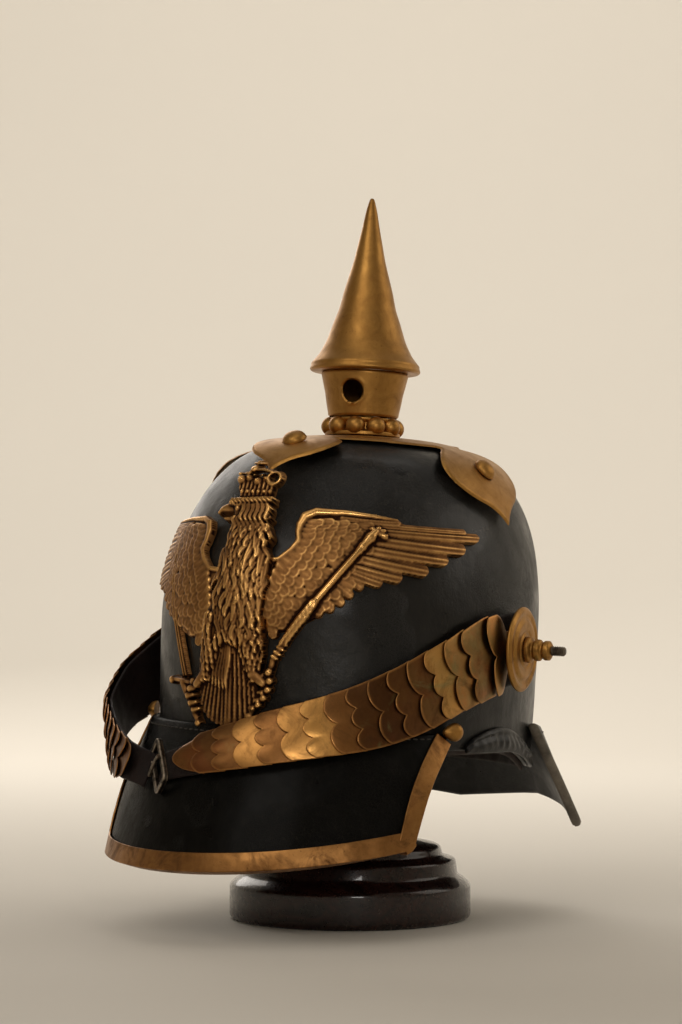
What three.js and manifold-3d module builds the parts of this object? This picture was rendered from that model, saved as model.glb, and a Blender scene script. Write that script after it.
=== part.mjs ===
// A spiked leather helmet with brass fittings, resting on its turned stand.
//
// Millimetres, +Z up. The origin is the centre of the stand's foot, on the surface it stands on.
// The helmet is modelled in its own frame and then leaned on the stand: there +Z runs up the
// spike, -Y is the front, +X is the wearer's left, and z = 0 is the brim plane.

import * as THREE from 'three';
import { mergeVertices } from 'three/addons/utils/BufferGeometryUtils.js';
import { TessellateModifier } from 'three/addons/modifiers/TessellateModifier.js';
import Module from 'manifold-3d';

const wasm = await Module();
wasm.setup();

const { sin, cos, abs, sign, hypot, min, max, PI } = Math;

// ---------------------------------------------------------------- driving dimensions

const LEAN = THREE.MathUtils.degToRad(2.8);
const BRIM_HEIGHT = 98;

const SHELL = {
  halfWidth: 96,
  frontLength: 115,
  backLength: 107,
  crownShift: 8,
  planPower: 2.1,
  domeStart: 65,
  crown: 159.5,
  domeSharpness: 1.83,
  domeFullness: 3.89,
  rimTaper: 0.015,
  wall: 3,
  frontRim: -1,
  backRim: -13,
};

const FIT = 0.6;
const LEATHER = 2;

const FRONT_VISOR = {
  endArc: 117,
  seam: 7.5,
  wall: 3,
  bulge: 1.5,
  edgeRadius: 97.5,
  edgeCentre: -45,
  edgeSpan: 64,
  drop: 53.5,
  peakDrop: 8,
  warp: 7.5,
  cheekHollow: 5,
};

const REAR_VISOR = {
  startArc: 197,
  earSeam: 11,
  backSeam: 4,
  wall: 3.6,
  bulge: 0.3,
  edgeRadius: 121,
  edgeCentre: 8,
  edgeSpan: 57,
  warp: 2,
};

const TRIM = { outerLeg: 7.8, innerLeg: 4.5, metal: 0.8, gap: 0.9 };

const EAR_ROLL = { startArc: 129, endArc: 208, height: 9.5, wall: 1.6, flare: 2.2 };

const SWEATBAND = { wall: 1.4, top: 32, below: 2.5, gap: 0.5 };

const SPIKE_BASE = { wall: 1.1, hub: 53 };
const ARMS = {
  front: { reach: 93, spread: 0.92, spring: 5, stud: 67 },
  back: { reach: 93, spread: 0.92, spring: 3.6, stud: 67 },
  side: { reach: 108, spread: 1.25, spring: 3, stud: 77 },
};
const ARM_STUD = { radius: 6.6, height: 4.6 };

const PEARLS = { count: 10, ringRadius: 17.4, radius: 5.3, centre: 167.1 };
const NECK = { wall: 1.2, ventRadius: 6, ventHeight: 185.5, ventTurn: 13 };
const SCALE = { count: 16, metal: 0.7, gap: 0.5, overlap: 6, firstEdge: 33, dome: 1.6 };
const ROSETTES = {
  left: { arc: 163.5, height: 51.5, lift: 7.5, turn: 7, shank: 3.9 },
  right: { arc: -172, height: 48, lift: 9.2, turn: 14, shank: 4.9 },
};

// ---------------------------------------------------------------- solids

// Welds a geometry into one closed body of distinct corners, faces outward.
function solid(geometry) {
  let body = geometry.clone();
  body.deleteAttribute('normal');
  body.deleteAttribute('uv');
  body = mergeVertices(body, 1e-4);
  const place = body.getAttribute('position');
  const corners = body.getIndex().array;
  const kept = [];
  let volume = 0;
  const p = [0, 1, 2].map(() => new THREE.Vector3());
  for (let i = 0; i < corners.length; i += 3) {
    const [a, b, c] = corners.slice(i, i + 3);
    if (a === b || b === c || c === a) continue;
    kept.push(a, b, c);
    [a, b, c].forEach((corner, k) => p[k].fromBufferAttribute(place, corner));
    volume += p[0].dot(p[1].clone().cross(p[2]));
  }
  if (volume < 0) kept.reverse();
  body.setIndex(kept);
  return body;
}

// A wall between two faces given by point(a, b, side), with a and b from 0 to 1 and side 0 on the
// outer face and 1 on the inner one. A round wall closes on itself along a.
function wall(point, columns, rows, round = false) {
  const positions = [];
  const faces = [];
  const perSide = (columns + 1) * (rows + 1);
  const at = (i, j, side) => side * perSide + j * (columns + 1) + (round ? i % columns : i);
  for (let side = 0; side < 2; side += 1) {
    for (let j = 0; j <= rows; j += 1) {
      for (let i = 0; i <= columns; i += 1) positions.push(...point(i / columns, j / rows, side).toArray());
    }
  }
  const quad = (a, b, c, d) => faces.push(a, b, c, a, c, d);
  for (let j = 0; j < rows; j += 1) {
    for (let i = 0; i < columns; i += 1) {
      quad(at(i, j, 0), at(i + 1, j, 0), at(i + 1, j + 1, 0), at(i, j + 1, 0));
      quad(at(i, j, 1), at(i, j + 1, 1), at(i + 1, j + 1, 1), at(i + 1, j, 1));
    }
    if (!round) {
      quad(at(0, j, 1), at(0, j, 0), at(0, j + 1, 0), at(0, j + 1, 1));
      quad(at(columns, j, 0), at(columns, j, 1), at(columns, j + 1, 1), at(columns, j + 1, 0));
    }
  }
  for (let i = 0; i < columns; i += 1) {
    quad(at(i, 0, 0), at(i, 0, 1), at(i + 1, 0, 1), at(i + 1, 0, 0));
    quad(at(i, rows, 0), at(i + 1, rows, 0), at(i + 1, rows, 1), at(i, rows, 1));
  }
  const geometry = new THREE.BufferGeometry();
  geometry.setAttribute('position', new THREE.Float32BufferAttribute(positions, 3));
  geometry.setIndex(faces);
  return solid(geometry);
}

// A turned solid about +Z from [radius, height] rows.
function turned(rows, segments) {
  const profile = rows.map(([radius, height]) => new THREE.Vector2(radius, height));
  return solid(new THREE.LatheGeometry(profile, segments).rotateX(PI / 2));
}

function toManifold(geometry) {
  const body = solid(geometry);
  return new wasm.Manifold(new wasm.Mesh({
    numProp: 3,
    vertProperties: new Float32Array(body.getAttribute('position').array),
    triVerts: new Uint32Array(body.getIndex().array),
  }));
}

function fromManifold(manifold) {
  const mesh = manifold.getMesh();
  const geometry = new THREE.BufferGeometry();
  geometry.setAttribute('position', new THREE.BufferAttribute(mesh.vertProperties, 3));
  geometry.setIndex(new THREE.BufferAttribute(mesh.triVerts, 1));
  return geometry;
}

function joined(geometries) {
  return geometries.map(toManifold).reduce((whole, next) => whole.add(next));
}

// Splits the long edges of a flat slab and then carries each corner to bend(x, y, depth).
function bent(slab, longestEdge, bend) {
  const fine = new TessellateModifier(longestEdge, 12).modify(slab.toNonIndexed());
  const place = fine.getAttribute('position');
  for (let i = 0; i < place.count; i += 1) {
    const target = bend(place.getX(i), place.getY(i), place.getZ(i));
    place.setXYZ(i, target.x, target.y, target.z);
  }
  return solid(fine);
}

// ---------------------------------------------------------------- the helmet's form

// The plan's scale at a height: almost upright sides under a full dome.
function sectionScale(z) {
  if (z <= SHELL.domeStart) {
    return 1 - SHELL.rimTaper * ((SHELL.domeStart - z) / SHELL.domeStart) ** 2;
  }
  const rise = min(1, (z - SHELL.domeStart) / (SHELL.crown - SHELL.domeStart));
  return (1 - rise ** SHELL.domeSharpness) ** (1 / SHELL.domeFullness);
}

// The plan's outline at full scale: turn 0 is the front and PI / 2 the wearer's left.
function planPoint(turn) {
  const power = 2 / SHELL.planPower;
  const x = sign(sin(turn)) * abs(sin(turn)) ** power * SHELL.halfWidth;
  const halfLength = cos(turn) > 0 ? SHELL.frontLength : SHELL.backLength;
  const y = -sign(cos(turn)) * abs(cos(turn)) ** power * halfLength;
  return new THREE.Vector2(x, y);
}

const PLAN_STEPS = 720;
const planArcs = [0];
for (let i = 1; i <= PLAN_STEPS; i += 1) {
  const step = planPoint((i * PI) / PLAN_STEPS).distanceTo(planPoint(((i - 1) * PI) / PLAN_STEPS));
  planArcs.push(planArcs[i - 1] + step);
}

// The turn at an arc length from the front, measured round the plan at full scale.
function turnAt(arc) {
  const target = min(abs(arc), planArcs[PLAN_STEPS]);
  const next = max(1, planArcs.findIndex((length) => length >= target));
  const part = (target - planArcs[next - 1]) / (planArcs[next] - planArcs[next - 1]);
  return (sign(arc) * (next - 1 + part) * PI) / PLAN_STEPS;
}

// The dome's sections move back as they rise, so the forehead slopes more than the nape.
function sectionShift(z) {
  return SHELL.crownShift * THREE.MathUtils.smoothstep(z, 60, 140);
}

function shellPoint(turn, z) {
  const plan = planPoint(turn).multiplyScalar(sectionScale(z));
  return new THREE.Vector3(plan.x, plan.y + sectionShift(z), z);
}

function shellNormal(turn, z) {
  const step = 0.05;
  const high = min(z + step, SHELL.crown - 1e-3);
  const along = shellPoint(turn + 1e-3, z).sub(shellPoint(turn - 1e-3, z));
  const up = shellPoint(turn, high).sub(shellPoint(turn, high - 2 * step));
  return along.cross(up).normalize();
}

function onShell(arc, z, lift) {
  const turn = turnAt(arc);
  return shellPoint(turn, z).addScaledVector(shellNormal(turn, z), lift);
}

// The rim runs level under the front visor and drops behind the ears.
function rimHeight(turn) {
  const drop = THREE.MathUtils.smoothstep(abs(turn), 1.52, 2.05);
  return THREE.MathUtils.lerp(SHELL.frontRim, SHELL.backRim, drop);
}

function makeShell() {
  const sideRows = 3;
  const domeRows = 9;
  const point = (a, b, side) => {
    const turn = a * 2 * PI - PI;
    const row = b * (sideRows + domeRows);
    const climb = (max(0, row - sideRows) / domeRows) * (PI / 2);
    const dome = (SHELL.crown - SHELL.domeStart) * sin(climb) ** (2 / SHELL.domeSharpness);
    const rim = rimHeight(turn);
    const side0 = rim + (SHELL.domeStart - rim) * min(1, row / sideRows);
    const z = row <= sideRows ? side0 : SHELL.domeStart + dome;
    if (b === 1) return new THREE.Vector3(0, SHELL.crownShift, SHELL.crown - side * SHELL.wall);
    return shellPoint(turn, z).addScaledVector(shellNormal(turn, z), -side * SHELL.wall);
  };
  return wall(point, 48, sideRows + domeRows, true);
}

function makeSweatband() {
  const point = (a, b, side) => {
    const turn = a * 2 * PI - PI;
    const bottom = rimHeight(turn) - SWEATBAND.below;
    const z = bottom + (SWEATBAND.top - bottom) * b;
    const depth = SHELL.wall + SWEATBAND.gap + side * SWEATBAND.wall;
    return shellPoint(turn, z).addScaledVector(shellNormal(turn, z), -depth);
  };
  return wall(point, 48, 1, true);
}

// The flared leather roll along the rim over an ear: side is +1 on the wearer's left.
function makeEarRoll(side) {
  const point = (a, b, face) => {
    const arc = side * (EAR_ROLL.startArc + (EAR_ROLL.endArc - EAR_ROLL.startArc) * a);
    const width = EAR_ROLL.height * max(0.25, sin(PI * a) ** 0.6);
    const z = rimHeight(turnAt(arc)) - 0.8 + width * b;
    const flare = EAR_ROLL.flare * (1 - b) * sin(PI * a);
    return onShell(arc, z, FIT + flare + (1 - face) * EAR_ROLL.wall);
  };
  return wall(point, 10, 2);
}

// ---------------------------------------------------------------- visors

// A point on the middle of a surface moved along the surface's own normal.
function lifted(surface, a, b, lift) {
  const step = 1e-3;
  const along = surface(a + step, b).sub(surface(a - step, b));
  const down = surface(a, b + step).sub(surface(a, b - step));
  return surface(a, b).addScaledVector(down.cross(along).normalize(), lift);
}

// The inner face of the front visor: a runs from the wearer's right to left, b from seam to edge.
function frontVisorFace(a, b) {
  const across = 2 * a - 1;
  const top = onShell(FRONT_VISOR.endArc * across, FRONT_VISOR.seam, FIT);
  const turn = across * THREE.MathUtils.degToRad(FRONT_VISOR.edgeSpan);
  const edge = new THREE.Vector3(
    FRONT_VISOR.edgeRadius * sin(turn),
    FRONT_VISOR.edgeCentre - FRONT_VISOR.edgeRadius * cos(turn),
    -FRONT_VISOR.drop - FRONT_VISOR.peakDrop * (1 - across ** 2) + FRONT_VISOR.warp * across,
  );
  const crown = FRONT_VISOR.bulge * 4 * b * (1 - b);
  const outward = new THREE.Vector3(sin(turn), -cos(turn), 0);
  const face = top.lerp(edge, b).addScaledVector(outward, crown);
  face.y -= FRONT_VISOR.cheekHollow * sin(PI * b) * across ** 6;
  return face;
}

// How far the rear visor's edge hangs under the brim plane, by share of the way from its middle to
// its corner.
const REAR_DROPS = [
  { share: 0, drop: 40 },
  { share: 0.25, drop: 37 },
  { share: 0.5, drop: 34 },
  { share: 0.75, drop: 39 },
  { share: 1, drop: 48 },
];

function rearDrop(share) {
  const row = min(REAR_DROPS.length - 2, Math.floor(share * (REAR_DROPS.length - 1)));
  const [low, high] = [REAR_DROPS[row], REAR_DROPS[row + 1]];
  return THREE.MathUtils.mapLinear(share, low.share, high.share, low.drop, high.drop);
}

// The inner face of the rear visor: a runs from the wearer's left to right round the back.
function rearVisorFace(a, b) {
  const across = 2 * a - 1;
  const halfPlan = planArcs[PLAN_STEPS];
  const seamArc = -sign(across || 1) * (halfPlan - (halfPlan - REAR_VISOR.startArc) * abs(across));
  const seam = THREE.MathUtils.lerp(REAR_VISOR.backSeam, REAR_VISOR.earSeam, across ** 2);
  const top = onShell(seamArc, seam, FIT);
  const turn = across * THREE.MathUtils.degToRad(REAR_VISOR.edgeSpan);
  const edge = new THREE.Vector3(
    -REAR_VISOR.edgeRadius * sin(turn),
    REAR_VISOR.edgeCentre + REAR_VISOR.edgeRadius * cos(turn),
    -rearDrop(min(1, abs(across))) - REAR_VISOR.warp * across,
  );
  const crown = REAR_VISOR.bulge * 4 * b * (1 - b);
  const outward = new THREE.Vector3(-sin(turn), cos(turn), 0);
  return top.lerp(edge, b).addScaledVector(outward, crown);
}

function makeVisor(face, thickness) {
  return wall((a, b, side) => lifted(face, a, b, (1 - side) * thickness), 26, 3);
}

// The brass binding is a channel that wraps the front visor's two ends and its lower edge.
function makeTrim() {
  const endStations = 4;
  const edgeStations = 26;
  const path = [];
  for (let i = 0; i < endStations; i += 1) path.push([0, 0.1 + (0.9 * i) / endStations]);
  for (let i = 0; i <= edgeStations; i += 1) path.push([i / edgeStations, 1]);
  for (let i = endStations - 1; i >= 0; i -= 1) path.push([1, 0.1 + (0.9 * i) / endStations]);
  const edge = path.map(([a, b]) => lifted(frontVisorFace, a, b, FRONT_VISOR.wall / 2));
  const normals = path.map(([a, b], i) => lifted(frontVisorFace, a, b, FRONT_VISOR.wall / 2 + 1).sub(edge[i]));
  const inward = path.map((_, i) => {
    const before = edge[i].clone().sub(edge[max(0, i - 1)]).normalize();
    const after = edge[min(path.length - 1, i + 1)].clone().sub(edge[i]).normalize();
    const first = i === 0 ? after : before;
    const last = i === path.length - 1 ? before : after;
    const bisector = first.clone().add(last).normalize();
    const stretch = 1 / max(0.5, bisector.dot(first));
    return normals[i].clone().cross(bisector).normalize().multiplyScalar(stretch);
  });
  const half = FRONT_VISOR.wall / 2 + TRIM.gap;
  const channel = (metal) => [
    [TRIM.outerLeg, half + metal],
    [-TRIM.gap - metal, half + metal],
    [-TRIM.gap - metal, -half - metal],
    [TRIM.innerLeg, -half - metal],
  ];
  const faces = [channel(TRIM.metal), channel(0)];
  const point = (a, b, side) => {
    const station = Math.round(a * (path.length - 1));
    const [depth, rise] = faces[side][Math.round(b * 3)];
    const moved = edge[station].clone().addScaledVector(inward[station], depth);
    return moved.addScaledVector(normals[station], rise);
  };
  return wall(point, path.length - 1, 3);
}

// ---------------------------------------------------------------- crown fittings

// The outline of one arm of the cross-shaped spike base, by share of the arm's length.
const ARM_ROWS = [
  { along: 0.52, half: 10 },
  { along: 0.57, half: 18 },
  { along: 0.63, half: 25 },
  { along: 0.7, half: 27 },
  { along: 0.78, half: 24.5 },
  { along: 0.85, half: 18.5 },
  { along: 0.9, half: 11 },
  { along: 0.95, half: 4.8 },
  { along: 1, half: 0.4 },
];

// The height of the dome over a point of the plan, found by halving.
function domeHeight(x, y) {
  let low = SHELL.domeStart;
  let high = SHELL.crown;
  for (let i = 0; i < 26; i += 1) {
    const z = (low + high) / 2;
    const back = y - sectionShift(z);
    const scale = sectionScale(z);
    const halfLength = back < 0 ? SHELL.frontLength : SHELL.backLength;
    const across = abs(x / (SHELL.halfWidth * scale)) ** SHELL.planPower;
    const along = abs(back / (halfLength * scale)) ** SHELL.planPower;
    if (across + along < 1) low = z;
    else high = z;
  }
  return low;
}

// The point of the dome reached from the spike's axis by walking along the dome by the length of
// the flat offset (x, y), at that offset's bearing, and its lift off the dome.
function onCrown(x, y, lift) {
  const distance = hypot(x, y);
  const bearing = Math.atan2(x, -y);
  const at = (reach) => {
    const [east, north] = [reach * sin(bearing), -reach * cos(bearing)];
    return new THREE.Vector3(east, north, domeHeight(east, north));
  };
  const step = 1;
  let reach = 0;
  let walked = 0;
  let here = at(0);
  while (walked < distance) {
    const next = at(reach + step);
    const length = next.distanceTo(here);
    const share = min(1, (distance - walked) / length);
    reach += step * share;
    walked += length * share;
    here = at(reach);
  }
  const slope = new THREE.Vector3(
    domeHeight(here.x - 0.5, here.y) - domeHeight(here.x + 0.5, here.y),
    domeHeight(here.x, here.y - 0.5) - domeHeight(here.x, here.y + 0.5),
    1,
  );
  return here.addScaledVector(slope.normalize(), lift);
}

function armOutline({ reach, spread }) {
  const rows = ARM_ROWS.map(({ along, half }) => [half * spread, along * reach]);
  const right = rows.map(([half, along]) => new THREE.Vector2(half, along));
  const left = rows.map(([half, along]) => new THREE.Vector2(-half, along)).reverse();
  const root = [new THREE.Vector2(-10, 0), new THREE.Vector2(10, 0)];
  return new THREE.Shape([...root, ...right, ...left]);
}

// The stiff arms spring clear of the leather where the dome falls away under them.
function armLift(x, y) {
  const arm = abs(x) > abs(y) ? ARMS.side : y < 0 ? ARMS.front : ARMS.back;
  return FIT + 0.3 + arm.spring * THREE.MathUtils.smoothstep(hypot(x, y), 46, 78);
}

function makeSpikeBase() {
  const slab = (shape) => new THREE.ExtrudeGeometry(shape, { depth: 1, bevelEnabled: false });
  const hub = slab(new THREE.Shape().absarc(0, 0, SPIKE_BASE.hub, 0, 2 * PI));
  const front = slab(armOutline(ARMS.front)).rotateZ(PI);
  const back = slab(armOutline(ARMS.back));
  const left = slab(armOutline(ARMS.side)).rotateZ(-PI / 2);
  const right = slab(armOutline(ARMS.side)).rotateZ(PI / 2);
  const cross = fromManifold(joined([hub, front, back, left, right]));
  return bent(cross, 17, (x, y, depth) => onCrown(x, y, armLift(x, y) + depth * SPIKE_BASE.wall));
}

function makeArmStud() {
  const { radius, height } = ARM_STUD;
  return turned([
    [0, 0],
    [radius, 0],
    [radius, 0.7],
    [radius * 0.87, height * 0.62],
    [radius * 0.5, height * 0.93],
    [0, height],
  ], 12);
}

function seatOnCrown(x, y, lift) {
  const foot = onCrown(x, y, lift);
  return { foot, normal: onCrown(x, y, lift + 1).sub(foot).normalize() };
}

// Half-round pearls round the foot of the spike's neck.
function makePearlRing() {
  const seat = SHELL.crown + FIT + SPIKE_BASE.wall + 0.9;
  const parts = [turned([
    [12, seat],
    [20.5, seat],
    [20.5, seat + 2],
    [18.5, PEARLS.centre],
    [18.6, PEARLS.centre + 4.6],
    [12, PEARLS.centre + 4.6],
    [12, seat],
  ], 20)];
  for (let i = 0; i < PEARLS.count; i += 1) {
    const turn = ((i + 0.5) * 2 * PI) / PEARLS.count;
    const pearl = new THREE.SphereGeometry(PEARLS.radius, 8, 6).rotateX(PI / 2).rotateZ(turn);
    const reach = PEARLS.ringRadius;
    parts.push(pearl.translate(reach * sin(turn), -reach * cos(turn), PEARLS.centre));
  }
  return solid(fromManifold(joined(parts)));
}

const NECK_ROWS = [
  [19.0, 172.6],
  [19.6, 176],
  [20.4, 180],
  [21.3, 185.5],
  [22.3, 189.5],
  [23.9, 196.6],
];

function makeSpikeNeck() {
  const inner = [...NECK_ROWS].reverse().map(([radius, height]) => [radius - NECK.wall, height]);
  let cup = toManifold(turned([...NECK_ROWS, ...inner, NECK_ROWS[0]], 24));
  const drill = new THREE.CylinderGeometry(NECK.ventRadius, NECK.ventRadius, 12, 12);
  for (const turn of [NECK.ventTurn, NECK.ventTurn + 180]) {
    const bearing = THREE.MathUtils.degToRad(turn);
    const vent = drill.clone().translate(0, -21, 0).rotateZ(bearing);
    cup = cup.subtract(toManifold(vent.translate(0, 0, NECK.ventHeight)));
  }
  return solid(fromManifold(cup));
}

const CONE_ROWS = [
  [22.6, 197],
  [29.2, 197],
  [30.3, 198.2],
  [29.4, 201.4],
  [25.6, 206.4],
  [23.2, 210.8],
  [21.2, 215.2],
  [18.3, 224],
  [15.5, 232],
  [13.4, 241],
  [10.9, 250],
  [8.6, 258.5],
  [6.8, 267],
  [4.9, 276],
  [3.2, 285],
  [1.8, 290.6],
  [0, 293],
];

const CONE_HOLLOW = [
  [0, 270],
  [11.6, 241],
  [21.4, 210.8],
  [22.6, 197],
];

function makeSpikeCone() {
  return turned([...CONE_HOLLOW, ...CONE_ROWS.slice(1)], 22);
}

// ---------------------------------------------------------------- the eagle plate

// Flat outlines: arc is measured round the helmet from its front, height is above the brim.
const WING_ROWS = [
  { arc: 14, height: 91 },
  { arc: 22, height: 93 },
  { arc: 31, height: 99.5 },
  { arc: 28, height: 109 },
  { arc: 30, height: 116 },
  { arc: 36, height: 118.5 },
  { arc: 60, height: 118 },
  { arc: 80, height: 115.5 },
  { arc: 122, height: 111.8 },
  { arc: 134, height: 108.5 },
  { arc: 129, height: 104 },
  { arc: 122, height: 101 },
  { arc: 118, height: 96 },
  { arc: 109, height: 93.5 },
  { arc: 98, height: 88 },
  { arc: 90, height: 83.5 },
  { arc: 71, height: 82 },
  { arc: 62, height: 76.5 },
  { arc: 53, height: 66 },
  { arc: 41, height: 61.5 },
  { arc: 26, height: 55.5 },
  { arc: 14, height: 57 },
];

const BODY_ROWS = [
  { height: 10, low: -19, high: 10 },
  { height: 24, low: -19, high: 15 },
  { height: 44, low: -19, high: 16 },
  { height: 62, low: -19, high: 16.5 },
  { height: 80, low: -17.5, high: 15.5 },
  { height: 98, low: -11, high: 13.5 },
  { height: 108, low: -7.5, high: 12 },
  { height: 114, low: -12, high: 12 },
  { height: 116, low: -21, high: 12 },
  { height: 120, low: -20, high: 12.5 },
  { height: 124, low: -11, high: 11 },
  { height: 131, low: -19, high: 9 },
  { height: 137, low: -17, high: 11 },
  { height: 140, low: -9, high: 3 },
  { height: 144, low: -6, high: -2 },
];

// Straight pieces in the talons: the sceptre on the wearer's left, the sword on the right.
const BAR_ROWS = [
  { from: [9, 15], to: [22, 24], half: 4.5 },
  { from: [20, 20], to: [22.5, 42], half: 3.2 },
  { from: [22, 38], to: [40, 70], half: 3.2 },
  { from: [-22, 13], to: [-34, 28], half: 3.2 },
  { from: [-43, 29], to: [-16, 29], half: 2.4 },
  { from: [-31, 28], to: [-57, 98], half: 3.4 },
];

const EAGLE = {
  back: 0.7,
  plate: 1.9,
  bodyRelief: 5,
  bodyHalf: 19,
  standStart: 104,
  stand: 11,
  rightWingDrop: 5.5,
};

function outlineOf(points) {
  return new THREE.Shape(points.map(([x, y]) => new THREE.Vector2(x, y)));
}

function barOutline({ from, to, half }) {
  const run = new THREE.Vector2(to[0] - from[0], to[1] - from[1]).normalize();
  const [x, y] = [-run.y * half, run.x * half];
  return outlineOf([
    [from[0] + x, from[1] + y],
    [from[0] - x, from[1] - y],
    [to[0] - x, to[1] - y],
    [to[0] + x, to[1] + y],
  ]);
}

// The plate follows the shell and stands away from the dome towards the crown above the head.
function onEaglePlate(arc, z, depth) {
  const rise = max(0, (z - EAGLE.standStart) / 36);
  const stand = EAGLE.back + EAGLE.stand * rise ** 1.4 * THREE.MathUtils.smoothstep(-abs(arc), -50, -20);
  const middle = max(0, 1 - (arc / EAGLE.bodyHalf) ** 2);
  const relief = EAGLE.bodyRelief * middle * THREE.MathUtils.smoothstep(z, 6, 40);
  const thickness = EAGLE.plate + relief * (1 - 0.4 * min(1, rise));
  const turn = turnAt(arc);
  const flat = shellNormal(turn, z).setZ(0).normalize();
  const away = shellNormal(turn, z).lerp(flat, min(1, rise)).normalize();
  return shellPoint(turn, z).addScaledVector(away, stand + depth * thickness);
}

function makeEagle() {
  const slab = (shape) => new THREE.ExtrudeGeometry(shape, { depth: 1, bevelEnabled: false });
  const wing = WING_ROWS.map(({ arc, height }) => [arc, height]);
  const otherWing = WING_ROWS.map(({ arc, height }) => [-arc, height - EAGLE.rightWingDrop]);
  const rightEdge = BODY_ROWS.map(({ high, height }) => [high, height]);
  const leftEdge = BODY_ROWS.map(({ low, height }) => [low, height]).reverse();
  const outlines = [wing, otherWing, [...rightEdge, ...leftEdge]].map(outlineOf);
  const whole = joined([...outlines, ...BAR_ROWS.map(barOutline)].map(slab));
  return bent(fromManifold(whole), 14, onEaglePlate);
}

// ---------------------------------------------------------------- chinscales

// A band's middle line from its rosette to the buckle, with the band's width and its outward lean.
const LEFT_ROUTE = [
  { arc: 165, height: 51.5, lift: 0.8, width: 42, lean: 0 },
  { arc: 140, height: 47, lift: 0.8, width: 42, lean: 0 },
  { arc: 115, height: 37, lift: 0.9, width: 38, lean: 0 },
  { arc: 90, height: 25, lift: 1.8, width: 36, lean: 4 },
  { arc: 68, height: 16, lift: 4.4, width: 33, lean: 12 },
  { arc: 48, height: 10, lift: 6.8, width: 30, lean: 18 },
  { arc: 28, height: 4.5, lift: 9, width: 28, lean: 22 },
  { arc: 10, height: -1, lift: 11, width: 25.5, lean: 24 },
  { arc: -8, height: -6.5, lift: 13, width: 22, lean: 24 },
  { arc: -20, height: -10.5, lift: 14.4, width: 19, lean: 24 },
  { arc: -32, height: -14.5, lift: 15.8, width: 18, lean: 24 },
].map(({ arc, height, lift, width, lean }) => ({ place: onShell(arc, height, lift), width, lean }));

const RIGHT_ROUTE = [
  { place: onShell(-174, 49.5, 0.8), width: 42, lean: 0 },
  { place: onShell(-161, 44.5, 1.9), width: 42, lean: 4 },
  { place: new THREE.Vector3(-101.6, -20, 36.3), width: 40, lean: 5 },
  { place: new THREE.Vector3(-105.9, -35, 26.5), width: 38, lean: 1 },
  { place: new THREE.Vector3(-108.2, -52.6, 15), width: 35, lean: -5 },
  { place: new THREE.Vector3(-100.2, -75.6, 3), width: 30.5, lean: -12 },
  { place: new THREE.Vector3(-82.5, -97.4, -7), width: 27, lean: -4 },
  { place: new THREE.Vector3(-65.5, -113, -13), width: 22, lean: 10 },
  { place: new THREE.Vector3(-50, -121.5, -15.5), width: 20, lean: 20 },
];

class Band {
  constructor(route, wearerSide, tail) {
    this.curve = new THREE.CatmullRomCurve3(route.map(({ place }) => place), false, 'centripetal');
    this.curve.arcLengthDivisions = 400;
    this.length = this.curve.getLength();
    this.route = route;
    this.side = wearerSide;
    this.pitch = (this.length - SCALE.firstEdge - tail) / (SCALE.count - 1);
  }

  // A value of the route's rows at a distance along the band.
  value(name, distance) {
    const share = this.curve.getUtoTmapping(min(1, max(0, distance / this.length)));
    const row = min(this.route.length - 1.0001, share * (this.route.length - 1));
    const low = Math.floor(row);
    return THREE.MathUtils.lerp(this.route[low][name], this.route[low + 1][name], row - low);
  }

  // The point at a distance along, a share of the half width across, and a height off the band.
  point(distance, across, lift) {
    const share = min(1, max(0, distance / this.length));
    const along = this.curve.getTangentAt(share);
    const place = this.curve.getPointAt(share);
    place.addScaledVector(along, distance - share * this.length);
    const flat = new THREE.Vector3(-along.y, along.x, 0).multiplyScalar(this.side).normalize();
    const lean = THREE.MathUtils.degToRad(this.value('lean', distance));
    const out = flat.multiplyScalar(cos(lean)).add(new THREE.Vector3(0, 0, sin(lean)));
    out.addScaledVector(along, -out.dot(along)).normalize();
    const up = out.clone().cross(along).multiplyScalar(-this.side);
    const half = this.value('width', distance) / 2;
    return place.addScaledVector(up, across * half).addScaledVector(out, lift);
  }
}

function makeStrap(band, start, end) {
  const point = (a, b, side) => {
    const distance = start + (end - start) * a;
    const share = min(1, (distance - start) / 8);
    const roundEnd = (start < 0 ? 0.55 + 0.45 * sin((share * PI) / 2) : 1) * 0.9;
    return band.point(distance, (2 * b - 1) * roundEnd, (1 - side) * LEATHER);
  };
  return wall(point, 30, 1);
}

// One scale. Its root lies under the scale before it and its lobed edge lies over the next one,
// so it climbs by its metal and a fine gap over each pitch.
function makeScale(band, number) {
  const last = number === SCALE.count - 1;
  const lobes = last ? 1 : 2 + (number % 2);
  const columns = { 1: 8, 2: 8, 3: 9 }[lobes];
  const reach = band.pitch + SCALE.overlap;
  const root = SCALE.firstEdge + number * band.pitch - reach;
  const climb = (SCALE.metal + SCALE.gap) / band.pitch;
  const point = (a, b, side) => {
    const across = 2 * a - 1;
    const lobe = abs(sin(PI * lobes * a)) ** 0.6;
    const notch = (1 - lobe) * (last ? reach * 0.55 : 4);
    const along = b * (reach - notch);
    const taper = last ? 1 - 0.25 * b : 1;
    const rise = SCALE.gap + climb * along + (1 - side) * SCALE.metal;
    return band.point(root + along, across * taper, LEATHER + rise + SCALE.dome * (1 - across ** 2));
  };
  return wall(point, columns, 2);
}

// ---------------------------------------------------------------- rosettes and buckle

const ROSETTE_ROWS = [
  [4, 0],
  [22, 0],
  [22, 1.2],
  [20, 2.5],
  [15.5, 2.5],
  [14.5, 3.2],
  [0, 3.2],
];

// A rosette stands on a short shank that reaches down to its strap.
function makeRosette({ shank }) {
  return turned([[0, -shank], [4, -shank], ...ROSETTE_ROWS], 20);
}

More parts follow.
